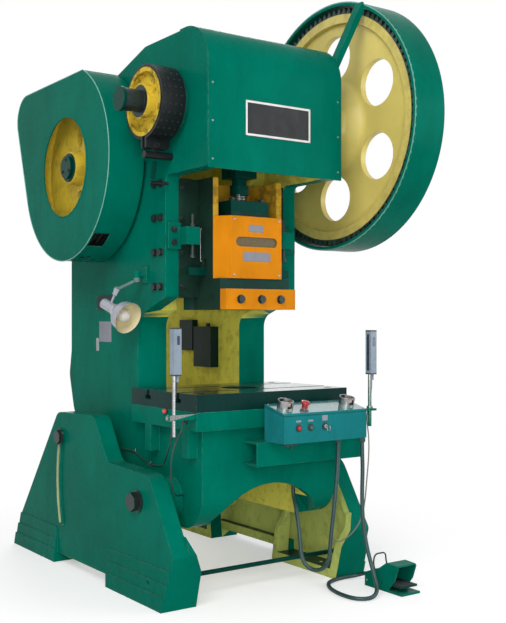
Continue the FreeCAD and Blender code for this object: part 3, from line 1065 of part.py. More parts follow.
node("box_conduit", tube("box_conduit", box_conduit, CONDUIT))
node("pedal_conduit", tube("pedal_conduit", pedal_conduit, CONDUIT))
node("left_head_cable", tube("left_head_cable", left_long_cable, CABLE))
node("left_table_cable", tube("left_table_cable", left_short_cable, CABLE))
node("right_head_cable", tube("right_head_cable", right_cable, CABLE))
node("switch_boxes", group(
    fuse(box("side_gap - 42", 420, 830, 42, 140, 180), rod("Z", "side_gap - 22", 470, 1009, 9, 16)),
    box("side_gap - 30", 590, 900, 30, 110, 140), box(150, -150, 395, "lower_gap - 150", 36, 30)))

# ---------------------------------------------------------------- check and write
doc.recompute()
for obj in doc.Objects:
    if "Invalid" in obj.State or "Error" in obj.State:
        raise RuntimeError(f"{obj.Name} {obj.Label} failed: {obj.State}")
for label, obj in nodes.items():
    if obj.Shape.isNull() or not obj.Shape.isValid():
        raise RuntimeError(f"{label} has no valid shape")
    obj.Shape.exportStep(f"parts/{label}.step")
    print(label, len(obj.Shape.Solids), "solids", round(obj.Shape.Volume / 1000), "cm3")
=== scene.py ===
"""Looks of the stamping press: camera, cords, materials and the small pieces around the CAD frame.

Metres, in the CAD's frame: +X to the operator's right, +Y to the back, +Z up, the origin on the floor.
"""

import json
import math

import bmesh
import bpy
from mathutils import Matrix, Vector


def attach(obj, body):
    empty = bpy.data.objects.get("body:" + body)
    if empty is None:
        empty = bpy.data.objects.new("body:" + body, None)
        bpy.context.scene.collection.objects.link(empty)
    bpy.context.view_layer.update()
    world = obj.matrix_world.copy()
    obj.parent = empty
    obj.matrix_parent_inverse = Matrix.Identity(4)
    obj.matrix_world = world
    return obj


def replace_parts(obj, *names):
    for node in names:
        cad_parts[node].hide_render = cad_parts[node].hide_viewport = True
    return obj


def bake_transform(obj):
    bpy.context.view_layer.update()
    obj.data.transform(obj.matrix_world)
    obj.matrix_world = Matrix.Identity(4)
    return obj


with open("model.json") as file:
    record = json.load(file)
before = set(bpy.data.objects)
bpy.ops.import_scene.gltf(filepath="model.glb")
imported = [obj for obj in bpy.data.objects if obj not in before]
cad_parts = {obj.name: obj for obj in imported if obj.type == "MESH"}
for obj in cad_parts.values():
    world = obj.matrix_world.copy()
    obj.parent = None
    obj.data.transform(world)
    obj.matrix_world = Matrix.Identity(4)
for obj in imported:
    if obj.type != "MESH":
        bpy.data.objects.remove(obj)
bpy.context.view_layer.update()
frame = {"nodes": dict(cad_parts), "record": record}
MM = 0.001
SLIDE_Y = -0.460                    # the slide's line; p.y in a test of dress() is measured from it
CRANK_Z = 1.855                     # the axis of the crank and of the main gear
SHAFT_Y, SHAFT_Z = 0.58467, 1.680   # the axis of the flywheel
PIVOT_Z, TILT_REACH = 0.366, 0.686  # the axis of tilt, and the arc slots' distance from it
# faces of the CAD, in millimetres from the slide's line
LEFT_WALL, TABLE_LEFT, HOOD_FRONT, COVER_FRONT, BOX_FRONT = -315, -355, -255, -120, -400


def at(x, y, z):
    """A point given in millimetres from the slide line, as metres in the frame."""
    return Vector((x * MM, y * MM + SLIDE_Y, z * MM))


# ---- camera
IMAGE_WIDTH, IMAGE_HEIGHT = 506, 623
CAMERA_AT = Vector((-2.2633, -3.6854, 1.0436))
CAMERA_YAW = math.radians(-34.483)
FOCAL_PIXELS = 988.83
CENTRE_X, CENTRE_Y = 229.28, 319.04


def make_camera():
    data = bpy.data.cameras.new("camera")
    data.sensor_width = 36
    data.lens = FOCAL_PIXELS * data.sensor_width / IMAGE_HEIGHT
    data.shift_x = (IMAGE_WIDTH / 2 - CENTRE_X) / IMAGE_HEIGHT
    data.shift_y = (CENTRE_Y - IMAGE_HEIGHT / 2) / IMAGE_HEIGHT
    camera = bpy.data.objects.new("camera", data)
    camera.location = CAMERA_AT
    camera.rotation_euler = (math.radians(90), 0, CAMERA_YAW)
    bpy.context.collection.objects.link(camera)
    bpy.context.scene.camera = camera


make_camera()

# ---- cords
CONDUIT = 16
CABLE = 5
BOX_CONDUIT = [
    (220, -345, 590), (220, -345, 540), (217, -344, 470), (211, -341, 385), (203, -336, 290),
    (194, -331, 200), (190, -328, 115), (174.5, -297.8, 78), (152.5, -255.2, 78), (137, -225, 112),
    (140, -212, 190), (149, -188, 255), (158, -162, 308), (168, -132, 350), (168, -132, 395)]
PEDAL_CONDUIT = [
    (300, -392, 590), (300, -392, 540), (303, -392, 470), (299, -393, 390), (297, -396, 310),
    (301, -402, 235), (307, -412, 170), (312, -430, 110), (308, -458, 58), (289, -490, 22),
    (243, -507, 9), (194, -482, 9), (184, -430, 9), (190, -366, 9), (212, -300, 9),
    (255, -245, 9), (315, -224, 9), (368, -220, 9), (408, -240, 14), (424, -282, 32), (424, -314, 32)]
LEFT_HEAD_CABLE = [
    (-428, -223, 820), (-428, -222, 770), (-431, -203, 715), (-430, -195, 655), (-424, -175, 600),
    (-404, -120, 556), (-372, -50, 522), (-336, 20, 492), (-319, 90, 474), (-318.5, 160, 472),
    (-319, 220, 490), (-318.5, 285, 509), (-319.5, 346, 510), (-326, 396, 513), (-340, 436, 522),
    (-352, 470, 534), (-315.2, 470, 534)]
LEFT_TABLE_CABLE = [
    (-405, -225, 683), (-405, -225, 650), (-430, -222, 610), (-446, -218, 560), (-446, -212, 500),
    (-430, -192, 450), (-400, -158, 412), (-362, -118, 392), (-335, -92, 388), (-315.2, -92, 388)]
RIGHT_HEAD_CABLE = [
    (362, -378, 808), (362, -378, 760), (358, -361, 705), (352, -361, 650), (350, -376, 585),
    (349, -376, 510), (345, -370, 430), (344, -362, 350), (341, -350, 280), (333, -322, 225),
    (318, -280, 180), (304, -240, 158), (302, -212, 175), (314, -196, 220), (330, -182, 270),
    (345, -168, 320), (342, -160, 352), (315.2, -160, 356)]


def spline_curve(name, points):
    """A smooth line that has the route's points as its control points."""
    data = bpy.data.curves.new(name, "CURVE")
    data.dimensions = "3D"
    data.resolution_u = 16
    spline = data.splines.new("NURBS")
    spline.points.add(len(points) - 1)
    for place, point in zip(spline.points, points):
        place.co = (*at(*point), 1)
    spline.order_u = 3
    spline.use_endpoint_u = True
    piece = bpy.data.objects.new(name, data)
    bpy.context.collection.objects.link(piece)
    return piece


def line_points(curve):
    """The points that a curve with no bevel follows."""
    mesh = bpy.data.meshes.new_from_object(curve)
    points = [vertex.co.copy() for vertex in mesh.vertices]
    bpy.data.meshes.remove(mesh)
    return points


def line_length(points):
    return sum((after - before).length for before, after in zip(points, points[1:]))


def new_piece(name, mesh, body, smooth=True, bends=None):
    """An object that rides on a body; given bends, its place is baked into its mesh and it rides on none."""
    piece = bpy.data.objects.new(name, mesh)
    bpy.context.collection.objects.link(piece)
    if smooth:
        for polygon in mesh.polygons:
            polygon.use_smooth = True
    if bends:
        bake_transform(piece)
    else:
        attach(piece, body)
    return piece


def even_points(points, step):
    """Points at equal steps along a line."""
    total = line_length(points)
    count = max(2, round(total / step))
    wanted = [total * i / count for i in range(count + 1)]
    result, walked, index = [], 0.0, 0
    for distance in wanted:
        while index < len(points) - 2 and walked + (points[index + 1] - points[index]).length < distance:
            walked += (points[index + 1] - points[index]).length
            index += 1
        span = (points[index + 1] - points[index]).length
        share = min(1.0, (distance - walked) / span) if span else 0
        result.append(points[index].lerp(points[index + 1], share))
    return result


def tube_mesh(name, centres, radii, sides=16):
    """A closed tube round a line of centres, one radius for each."""
    mesh = bpy.data.meshes.new(name)
    verts, faces = [], []
    normal = None
    for i, centre in enumerate(centres):
        before = centres[max(i - 1, 0)]
        after = centres[min(i + 1, len(centres) - 1)]
        along = (after - before).normalized()
        if normal is None:
            normal = along.orthogonal().normalized()
        normal = (normal - along * normal.dot(along)).normalized()
        other = along.cross(normal)
        for k in range(sides):
            angle = 2 * math.pi * k / sides
            verts.append(centre + (normal * math.cos(angle) + other * math.sin(angle)) * radii[i])
    for i in range(len(centres) - 1):
        for k in range(sides):
            a, b = i * sides + k, i * sides + (k + 1) % sides
            faces.append((a, b, b + sides, a + sides))
    faces.append(tuple(reversed(range(sides))))
    faces.append(tuple(range((len(centres) - 1) * sides, len(centres) * sides)))
    mesh.from_pydata(verts, [], faces)
    return mesh


def new_cord(name, node, points, diameter, body, step, ribs=(1,), bends=None):
    """A cable or ribbed hose: a tube along its smooth route, its radius times each of ribs in turn."""
    curve = spline_curve(name + "_guide", points)
    line = line_points(curve)
    bpy.data.objects.remove(curve)
    centres = even_points(line, step * MM)
    radii = [diameter / 2 * MM * ribs[i % len(ribs)] for i in range(len(centres))]
    piece = new_piece(name, tube_mesh(name, centres, radii), body, bends=bends)
    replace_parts(piece, node)
    return piece


HOSE_STEP, HOSE_RIBS, CABLE_STEP = 4 / 3, (0.93, 1, 1), 2
# the pedal's hose stands on the floor and hangs from the frame; given these two ends, it is baked in place
# and rides on no body
PEDAL_BEND = ("frame", at(300, -392, 60), at(300, -392, 555))
hoses = [new_cord(node + "_hose", node, route, CONDUIT, body, HOSE_STEP, HOSE_RIBS, bends)
         for node, route, body, bends in (("box_conduit", BOX_CONDUIT, "frame", None),
                                          ("pedal_conduit", PEDAL_CONDUIT, "base", PEDAL_BEND))]
cables = [new_cord(node + "_line", node, route, CABLE, "frame", CABLE_STEP)
          for node, route in (("left_head_cable", LEFT_HEAD_CABLE), ("left_table_cable", LEFT_TABLE_CABLE),
                              ("right_head_cable", RIGHT_HEAD_CABLE))]


# ---- materials
class Shader:
    """A material whose nodes are added one at a time."""

    def __init__(self, name):
        self.material = bpy.data.materials.new(name)
        self.material.use_nodes = True
        self.tree = self.material.node_tree
        self.surface = self.tree.nodes["Principled BSDF"]
        self.place = self.tree.nodes.new("ShaderNodeTexCoord").outputs["Object"]

    def add(self, kind, **values):
        node = self.tree.nodes.new(kind)
        for name, value in values.items():
            setattr(node, name, value)
        return node

    def link(self, source, target):
        if isinstance(source, (int, float, tuple)):
            target.default_value = source
        else:
            self.tree.links.new(source, target)

    def noise(self, scale, detail=4, rough=0.55, stretch=None):
        node = self.add("ShaderNodeTexNoise")
        place = self.place
        if stretch:
            mapping = self.add("ShaderNodeMapping")
            mapping.inputs["Scale"].default_value = stretch
            self.link(place, mapping.inputs["Vector"])
            place = mapping.outputs["Vector"]
        self.link(place, node.inputs["Vector"])
        node.inputs["Scale"].default_value = scale
        node.inputs["Detail"].default_value = detail
        node.inputs["Roughness"].default_value = rough
        return node.outputs["Fac"]

    def ranged(self, value, low, high, out_low=0.0, out_high=1.0):
        node = self.add("ShaderNodeMapRange")
        node.clamp = True
        self.link(value, node.inputs["Value"])
        for name, number in zip(("From Min", "From Max", "To Min", "To Max"), (low, high, out_low, out_high)):
            node.inputs[name].default_value = number
        return node.outputs["Result"]

    def math(self, operation, a, b=0.0):
        node = self.add("ShaderNodeMath", operation=operation)
        self.link(a, node.inputs[0])
        self.link(b, node.inputs[1])
        return node.outputs[0]

    def times(self, a, b):
        return self.math("MULTIPLY", a, b)

    def cloud(self, scale, detail, rough, *limits):
        """Noise stretched between limits."""
        return self.ranged(self.noise(scale, detail, rough), *limits)

    def mix(self, share, a, b):
        node = self.add("ShaderNodeMix", data_type="RGBA")
        self.link(share, node.inputs["Factor"])
        for value, socket in ((a, node.inputs[6]), (b, node.inputs[7])):
            self.link((*value, 1) if isinstance(value, tuple) and len(value) == 3 else value, socket)
        return node.outputs[2]

    def bump(self, height, distance, under):
        node = self.add("ShaderNodeBump")
        for name, value in (("Strength", 1.0), ("Distance", distance), ("Height", height), ("Normal", under)):
            self.link(value, node.inputs[name])
        return node.outputs["Normal"]

    def edges(self, radius):
        """A rounded normal, and how close a place is to a sharp edge."""
        bevel = self.add("ShaderNodeBevel", samples=6)
        bevel.inputs["Radius"].default_value = radius
        normal = bevel.outputs["Normal"]
        plain = self.add("ShaderNodeNewGeometry").outputs["Normal"]
        dot = self.add("ShaderNodeVectorMath", operation="DOT_PRODUCT")
        self.link(normal, dot.inputs[0])
        self.link(plain, dot.inputs[1])
        return normal, self.ranged(dot.outputs["Value"], 0.995, 0.80)

    def facing_up(self):
        normal = self.add("ShaderNodeNewGeometry").outputs["Normal"]
        split = self.add("ShaderNodeSeparateXYZ")
        self.link(normal, split.inputs["Vector"])
        return split.outputs["Z"]

    def length(self, a, b):
        return self.math("SQRT", self.math("ADD", *(self.times(side, side) for side in (a, b))))

    def off_axis(self, y, z):
        """How far a place lies behind, above and away from an axis along X."""
        split = self.add("ShaderNodeSeparateXYZ")
        self.link(self.place, split.inputs["Vector"])
        back = self.math("SUBTRACT", split.outputs["Y"], y)
        high = self.math("SUBTRACT", split.outputs["Z"], z)
        return back, high, self.length(back, high)

    def finish(self, **values):
        """Fills the surface's inputs, an underscore standing for a space, and gives the material."""
        for name, value in values.items():
            self.link(value, self.surface.inputs[name.replace("_", " ")])
        return self.material


def toned(colour, share, lift=0.0):
    """A colour made darker or lighter."""
    return tuple(min(1, value * share + lift) for value in colour)


def tilt_band(shader):
    """1 on the stretch of the frame's sides that shows through the tilt slots of the legs."""
    back, high, reach = shader.off_axis(SLIDE_Y, PIVOT_Z)
    near = shader.math("COMPARE", reach, TILT_REACH)
    near.node.inputs[2].default_value = 0.03
    behind = shader.math("GREATER_THAN", back, 0.4)
    below = shader.math("LESS_THAN", high, 0.20)
    return shader.times(shader.times(near, behind), below)


def painted(name, colour, rough=0.24, coat=0.0, cast=0.25, edge_radius=0.0045, level=0.035, tint=(1, 1, 1),
            slot_band=False, patches=0.0):
    """Enamel over iron: uneven, a little orange peel, paler edges that are partly rubbed wear and partly a
    painted highlight, grime and dust on top.
    """
    shader = Shader(name)
    dark = toned(colour, 0.80)
    base = shader.mix(shader.cloud(2.2, 5, 0.6, 0.32, 0.70), dark, toned(colour, 1.10))
    base = shader.mix(shader.cloud(160, 3, 0.7, 0.62, 0.78, 0.0, 0.25), base, dark)
    rounded, edge = shader.edges(edge_radius)
    # paler sharp edges: partly rubbed-through wear, partly a painted highlight
    worn_edge_highlight = shader.times(edge, shader.cloud(55, 6, 0.75, 0.42, 0.62))
    base = shader.mix(shader.times(worn_edge_highlight, 0.75), base, toned(colour, 0.75, 0.10))
    if slot_band:
        base = shader.mix(tilt_band(shader), base, CREAM)
    grime = shader.ranged(shader.noise(14, 6, 0.7, (1, 1, 0.25)), 0.48, 0.80, 0.0, 0.39)
    base = shader.mix(grime, base, toned(colour, 0.45))
    if patches:
        smear = shader.cloud(17, 7, 0.72, 0.50, 0.60, 0.0, patches)
        base = shader.mix(smear, base, toned(colour, 0.16, 0.01))
    dust = shader.times(shader.ranged(shader.facing_up(), 0.75, 1.0, 0.0, 0.05),
                       shader.cloud(9, 5, 0.6, 0.35, 0.75))
    sheen = shader.cloud(30, 4, 0.6, 0.3, 0.75, rough - 0.06, rough + 0.12)
    normal = shader.bump(shader.noise(26, 3, 0.5), 0.0016 * cast, rounded)
    return shader.finish(Base_Color=shader.mix(dust, base, (0.42, 0.42, 0.38)),
                         Roughness=shader.math("ADD", sheen, shader.times(dust, 1.5)),
                         Normal=shader.bump(shader.noise(420, 2, 0.5), 0.00012 * cast, normal),
                         Coat_Weight=coat, Coat_Roughness=0.08, Specular_IOR_Level=level,
                         Specular_Tint=(*tint, 1))


def steel(name, colour, rough=0.35, metallic=1.0, grain=(1, 1, 1), rust=0.0, wear=0.5, grain_scale=260,
          bump=0.00005):
    """Machined or blackened steel with its tool marks, oil stains and bright edges."""
    shader = Shader(name)
    marks = shader.noise(grain_scale, 3, 0.6, grain)
    base = shader.mix(shader.ranged(marks, 0.35, 0.68), toned(colour, 0.72), toned(colour, 1.25, 0.01))
    stain = shader.cloud(7, 6, 0.65, 0.50, 0.74, 0.0, 0.5)
    base = shader.mix(stain, base, toned(colour, 0.5))
    rounded, edge = shader.edges(0.0012)
    bright = shader.times(edge, shader.cloud(70, 5, 0.7, 0.35, 0.62))
    base = shader.mix(shader.times(bright, wear), base, toned(colour, 1.6, 0.18))
    if rust:
        spots = shader.cloud(34, 7, 0.72, 0.60, 0.74, 0.0, rust)
        base = shader.mix(spots, base, (0.16, 0.07, 0.03))
    return shader.finish(Base_Color=base, Metallic=metallic, Normal=shader.bump(marks, bump, rounded),
                         Roughness=shader.ranged(marks, 0.3, 0.7, rough - 0.08, rough + 0.12))


def plastic(name, colour, rough=0.35, coat=0.0):
    """Moulded plastic or rubber: a fine grain and slight unevenness."""
    shader = Shader(name)
    base = shader.mix(shader.cloud(20, 4, 0.6, 0.3, 0.7), toned(colour, 0.85),
                      toned(colour, 1.12, 0.003))
    sheen = shader.cloud(60, 3, 0.6, 0.3, 0.7, rough - 0.05, rough + 0.1)
    rounded, _ = shader.edges(0.0008)
    return shader.finish(Base_Color=base, Roughness=sheen, Coat_Weight=coat,
                         Normal=shader.bump(shader.noise(900, 2, 0.5), 0.00003, rounded))


def glass_bulb():
    """Frosted glass of a lamp bulb."""
    shader = Shader("bulb_glass")
    sheen = shader.cloud(200, 2, 0.5, 0.3, 0.7, 0.18, 0.3)
    return shader.finish(Base_Color=(0.93, 0.91, 0.84, 1), Roughness=sheen, Transmission_Weight=0.35)


GREEN = (0.000, 0.155, 0.104)
TEAL = (0.010, 0.175, 0.185)
DARK_GREEN = (0.000, 0.040, 0.028)
YELLOW = (0.700, 0.570, 0.150)
FLYWHEEL_YELLOW = (0.700, 0.500, 0.045)
DULL_YELLOW = (0.780, 0.740, 0.130)
LEG_YELLOW = (0.560, 0.640, 0.170)
CREAM = (0.52, 0.60, 0.34)
GREEN_SHINE = (0.15, 0.85, 0.80)
WARM = (1, 0.9, 0.5)
PAINTS = {
    "green_paint": dict(colour=GREEN, tint=GREEN_SHINE, level=0.018),
    "frame_paint": dict(colour=GREEN, tint=GREEN_SHINE, level=0.018, slot_band=True),
    "teal_paint": dict(colour=TEAL, tint=(0.3, 0.9, 0.95), cast=0.12, edge_radius=0.0012),
    "teal_gloss": dict(colour=TEAL, rough=0.14, cast=0.08, edge_radius=0.0012, coat=1.0, level=1.0),
    # a paler, glossier green for the guards' edge beads: a painted highlight
    "edge_green": dict(colour=(0.16, 0.42, 0.34), rough=0.2, edge_radius=0.001, level=0.3),
    "dark_green_paint": dict(colour=DARK_GREEN, rough=0.30, edge_radius=0.002, level=0.12, tint=GREEN_SHINE),
    "oily_iron": dict(colour=(0.012, 0.036, 0.024), rough=0.32, edge_radius=0.002, level=0.15,
                      tint=GREEN_SHINE, patches=0.6),
    "pocket_orange": dict(colour=(0.62, 0.36, 0.03), rough=0.4, patches=0.6),
    "yellow_paint": dict(colour=YELLOW, rough=0.36, tint=WARM),
    "dirty_yellow": dict(colour=FLYWHEEL_YELLOW, rough=0.4, tint=WARM, patches=0.8),
    "flywheel_yellow": dict(colour=FLYWHEEL_YELLOW, rough=0.3, tint=WARM, patches=0.35, level=0.2),
    "dull_yellow": dict(colour=DULL_YELLOW, rough=0.42, tint=WARM, patches=0.30),
    "leg_yellow": dict(colour=LEG_YELLOW, rough=0.42, tint=WARM, patches=0.25),
    "slot_cream": dict(colour=CREAM, rough=0.42),
    "orange_paint": dict(colour=(0.68, 0.235, 0.008), rough=0.33, cast=0.12, edge_radius=0.0015,
                         tint=(1, 0.8, 0.3)),
    "black_paint": dict(colour=(0.010, 0.012, 0.014), rough=0.36, edge_radius=0.002, level=0.25),
    "bolster_side": dict(colour=(0.002, 0.030, 0.026), rough=0.30, edge_radius=0.003, level=0.08),
    "relay_black": dict(colour=(0.006, 0.024, 0.019), rough=0.35, edge_radius=0.001, level=0.1),
    "arm_grey": dict(colour=(0.11, 0.20, 0.18), rough=0.3, edge_radius=0.002, level=0.2),
    "plate_white": dict(colour=(0.78, 0.78, 0.76), rough=0.4, cast=0.05, edge_radius=0.0005),
    "plate_grey": dict(colour=(0.26, 0.27, 0.31), rough=0.4, cast=0.05, edge_radius=0.0005),
    "lamp_white": dict(colour=(0.36, 0.37, 0.43), rough=0.2, cast=0.1, edge_radius=0.0012, level=0.5,
                       coat=0.3),
    "lamp_cream": dict(colour=(0.74, 0.66, 0.40), rough=0.42, cast=0.1, edge_radius=0.0012),
}
STEELS = {
    "bright_steel": dict(colour=(0.34, 0.35, 0.36), rough=0.30),
    "dark_steel": dict(colour=(0.016, 0.030, 0.028), rough=0.36, metallic=0.6),
    "machined_top": dict(colour=(0.26, 0.30, 0.30), rough=0.15, wear=0.3, grain=(1, 9, 1), grain_scale=90,
                         bump=0.00002),
    "rod_steel": dict(colour=(0.30, 0.31, 0.31), rough=0.18, wear=0.2),
    "slot_brown": dict(colour=(0.10, 0.075, 0.030), rough=0.5, metallic=0.3, rust=0.6),
    "tooth_steel": dict(colour=(0.010, 0.024, 0.020), rough=0.32, metallic=0.5, wear=0.6, rust=0.15),
    "bronze": dict(colour=(0.46, 0.30, 0.12), rough=0.32),
    "zinc": dict(colour=(0.34, 0.35, 0.34), rough=0.34),
    "conduit_grey": dict(colour=(0.018, 0.058, 0.056), rough=0.34, metallic=0.3, wear=0.3),
}
PLASTICS = {
    "belt_rubber": dict(colour=(0.018, 0.018, 0.018), rough=0.7),
    "red_plastic": dict(colour=(0.42, 0.012, 0.016), rough=0.28, coat=0.2),
    "green_plastic": dict(colour=(0.004, 0.105, 0.050), rough=0.28, coat=0.2),
    "pale_plastic": dict(colour=(0.60, 0.46, 0.42), coat=0.2),
    "black_plastic": dict(colour=(0.018, 0.018, 0.02), rough=0.45),
    "grey_plastic": dict(colour=(0.20, 0.26, 0.32), rough=0.36),
    "window_plastic": dict(colour=(0.016, 0.022, 0.05), rough=0.16, coat=0.6),
    "cable_black": dict(colour=(0.012, 0.022, 0.020), rough=0.45),
    "cable_grey": dict(colour=(0.22, 0.19, 0.17), rough=0.45),
    "red_lamp": dict(colour=(0.85, 0.02, 0.01), rough=0.12, coat=0.6),
}
MATERIALS = {name: make(name, **values)
             for make, table in ((painted, PAINTS), (steel, STEELS), (plastic, PLASTICS))
             for name, values in table.items()}
MATERIALS["bulb_glass"] = glass_bulb()
MATERIALS["gear_steel"] = MATERIALS["yellow_paint"]


def dress(node, *choices):
    """Gives a CAD node its materials: pairs of a name and a test of a face's middle and normal."""
    mesh = frame["nodes"][node].data
    mesh.materials.clear()
    for name, _ in choices:
        mesh.materials.append(MATERIALS[name])
    for polygon in mesh.polygons:
        middle = polygon.center - Vector((0, SLIDE_Y, 0))
        for index, (_, test) in enumerate(choices):
            if test(middle, polygon.normal):
                polygon.material_index = index
                break


def rest_of(middle, normal):
    return True


def inside_frame(p, n):
    """The painted-out inner walls of the crank chamber, the open back and the hollow under the table."""
    x = abs(p.x)
    chamber = x < 0.2565 and 1.05 < p.z < 2.0865 and -0.2475 < p.y < 0.865 and not (p.y > 0.25 and n.z > 0.3)
    back = x < 0.1835 and 0.70 < p.z < 1.60 and p.y > 0.178
    hollow = x < 0.2015 and p.z < 0.602 and p.y > -0.181
    return chamber or back or hollow


def slot_wall(p, n):
    """The sides of a leg's tilt slot."""
    reach = math.hypot(p.y, p.z - PIVOT_Z)
    in_arc = abs(reach - TILT_REACH) < 0.0125 and p.z < 0.60 and p.y > 0.4
    return in_arc and abs(p.x) > 0.3925 and abs(n.x) < 0.5


def foot_flange_shade(p, n):
    """The up-facing ledges along the bottom of a leg's inner side, painted dark green as painted shade of the
    hollow between the legs.
    """
    return abs(p.x) < 0.4275 and n.z > 0.7 and p.z < 0.30


def inside_leg(p, n):
    """The inner walls of a leg and of its feet."""
    x = abs(p.x)
    if x > 0.4275:
        return False
    if abs(n.x) > 0.7:
        return n.x * p.x < 0
    centre = Vector((p.x, 0.445, 0.30)) if x > 0.3925 else Vector((p.x, 0.0 if p.y < 0.45 else 0.91, 0.15))
    return (centre - p).dot(n) > 0


def off_axis(p, y, z):
    return math.hypot(p.y - y, p.z - z)


def slide_pocket(p, n):
    """The cheeks beside the rod and the wall behind it."""
    x = abs(p.x)
    inner = 0.1395 < x < 0.1405 and abs(n.x) > 0.5
    front = 0.1395 < x < 0.1655 and p.y < -0.055 and n.y < -0.5
    top = 0.1395 < x < 0.1655 and p.z > 1.58
    wall = x < 0.1655 and 0.12 < p.y < 0.13 and n.y < -0.5
    return p.z > 1.195 and p.y > -0.065 and (inner or front or top or wall)


BOX_MIDDLE = 116.5
LID_SLOPE = math.atan2(30, 120)
LID_NORMAL = Vector((0, -math.sin(LID_SLOPE), math.cos(LID_SLOPE)))
LID_Y = -340
LID_Z = 590 + 110 + (LID_Y - BOX_FRONT) * math.tan(LID_SLOPE)
PALM_X = (BOX_MIDDLE - 150, BOX_MIDDLE + 148)
LAMP_TIP = Vector((-0.425, 0.292, 1.092))
SHADE_AIM = Vector((0.218, -0.895, -0.389)).normalized()


def palm_guard(p, n):
    """The sleeves round the palm buttons."""
    lift = (p - Vector((0, LID_Y * MM, LID_Z * MM))).dot(LID_NORMAL)
    return lift > 0.0006 and any(abs(p.x - x * MM) < 0.033 for x in PALM_X)


def off_lamp(p):
    """A point's distance along the lamp's axis, and its offset from that axis."""
    along = (p - LAMP_TIP).dot(SHADE_AIM)
    return along, (p - LAMP_TIP) - SHADE_AIM * along


def in_shade(p, n):
    """The inner face of the lamp's shade."""
    along, out = off_lamp(p)
    return along > 0.036 and out.length > 0.02 and n.dot(out) < 0


def lamp_bulb(p, n):
    along, out = off_lamp(p)
    return 0.0345 < along < 0.116 and out.length < 0.0282 and n.dot(out) > -0.2 * out.length


def gear_paint():
    """Yellow web, and dark oiled teeth beyond the root circle."""
    shader = Shader("gear_paint")
    _, _, reach = shader.off_axis(SLIDE_Y, CRANK_Z)
    smear = shader.times(shader.ranged(reach, 0.40, 0.474, 0.0, 0.45),
                        shader.cloud(24, 6, 0.7, 0.40, 0.70))
    blotch = shader.cloud(2.2, 5, 0.6, 0.32, 0.70)
    yellow = shader.mix(blotch, toned(YELLOW, 0.80), toned(YELLOW, 1.1))
    yellow = shader.mix(smear, yellow, (0.09, 0.085, 0.03))
    dark = shader.mix(shader.cloud(40, 5, 0.7, 0.35, 0.7), (0.006, 0.016, 0.013),
                      (0.05, 0.085, 0.07))
    rounded, _ = shader.edges(0.002)
    return shader.finish(Base_Color=shader.mix(shader.ranged(reach, 0.4735, 0.4745), yellow, dark),
                         Roughness=shader.cloud(30, 4, 0.6, 0.3, 0.75, 0.30, 0.46),
                         Normal=shader.bump(shader.noise(26, 3, 0.5), 0.0007, rounded))


MATERIALS["gear_paint"] = gear_paint()
ONE_FINISH = {
    # the rod, its cap, the ball seat's cap and the ball screw sit in the slide's pocket; their dark green is
    # partly their own paint and partly painted shade
    "dark_green_paint": ("connecting_rod", "rod_cap", "ball_seat_cap", "tie_rod", "ball_screw", "drive_shaft",
                         "knockout_bar", "crank_end_caps", "brake_spring", "foot_pedal"),
    "dark_steel": ("crankshaft", "slide_bolts", "foot_switch_handle"),
    "green_paint": ("lamp_bracket",),
    "arm_grey": ("lamp_arm",),
    "oily_iron": ("gibs",),
    "relay_black": ("switch_boxes",),
    "tooth_steel": ("pinion",),
    "gear_paint": ("main_gear",),
}
for entry in frame["record"]["subparts"]:
    mesh = frame["nodes"][entry["node"]].data
    mesh.materials.clear()
    mesh.materials.append(MATERIALS[entry["material_slot"]])
for material, nodes in ONE_FINISH.items():
    for node in nodes:
        dress(node, (material, rest_of))
dress("frame_casting", ("dull_yellow", inside_frame), ("frame_paint", rest_of))
for node in ("left_leg", "right_leg"):
    # the ledges' dark green is painted shade of the hollow between the legs
    dress(node, ("slot_cream", slot_wall), ("dark_green_paint", foot_flange_shade), ("leg_yellow", inside_leg),
          ("green_paint", rest_of))
dress("crank_hood", ("dull_yellow", lambda p, n: (n.y > 0.4 and p.y < -0.1) or (n.z < -0.4 and p.z > 1.7)),
      ("green_paint", rest_of))
dress("brake_drum", ("dark_steel", lambda p, n: off_axis(p, 0, CRANK_Z) > 0.1275 and abs(n.x) < 0.5),
      ("dark_steel", lambda p, n: off_axis(p, 0, CRANK_Z) < 0.062), ("dirty_yellow", rest_of))
dress("flywheel", ("tooth_steel", lambda p, n: off_axis(p, SHAFT_Y, SHAFT_Z) > 0.30 and p.x > -0.4535),
      ("flywheel_yellow", rest_of))
dress("bolster_plate", ("machined_top", lambda p, n: n.z > 0.9 and p.z > 0.76), ("bolster_side", rest_of))
dress("control_box", ("zinc", palm_guard), ("teal_gloss", lambda p, n: n.z > 0.9), ("teal_paint", rest_of))
dress("slide_block", ("pocket_orange", slide_pocket), ("oily_iron", rest_of))
dress("knockout_stops",
      ("dark_steel", lambda p, n: math.hypot(abs(p.x) - 0.22, p.y) < 0.0165 or p.y < -0.034),
      ("green_paint", rest_of))
dress("light_curtain_mounts", ("green_paint", lambda p, n: 0.6825 < p.z < 0.7035 and abs(n.x) < 0.999 and
                               math.hypot(p.x + 0.440, p.y + 0.225) > 0.02), ("rod_steel", rest_of))
dress("lamp_head", ("bulb_glass", lamp_bulb), ("lamp_cream", in_shade), ("lamp_white", rest_of))
for hose in hoses:
    hose.data.materials.append(MATERIALS["conduit_grey"])
for line in cables:
    colour = "cable_grey" if line.name.startswith("right_head") else "cable_black"
    line.data.materials.append(MATERIALS[colour])


# ---- shapes for small pieces
def mesh_from(name, build):
    mesh = bpy.data.meshes.new(name)
    shape = bmesh.new()
    build(shape)
    bmesh.ops.recalc_face_normals(shape, faces=shape.faces)
    shape.to_mesh(mesh)
    shape.free()
    return mesh


def facing(normal, spin=0.0):
    """A turn that points +Z along normal."""
    return normal.to_track_quat("Z", "Y").to_matrix().to_4x4() @ Matrix.Rotation(spin, 4, "Z")


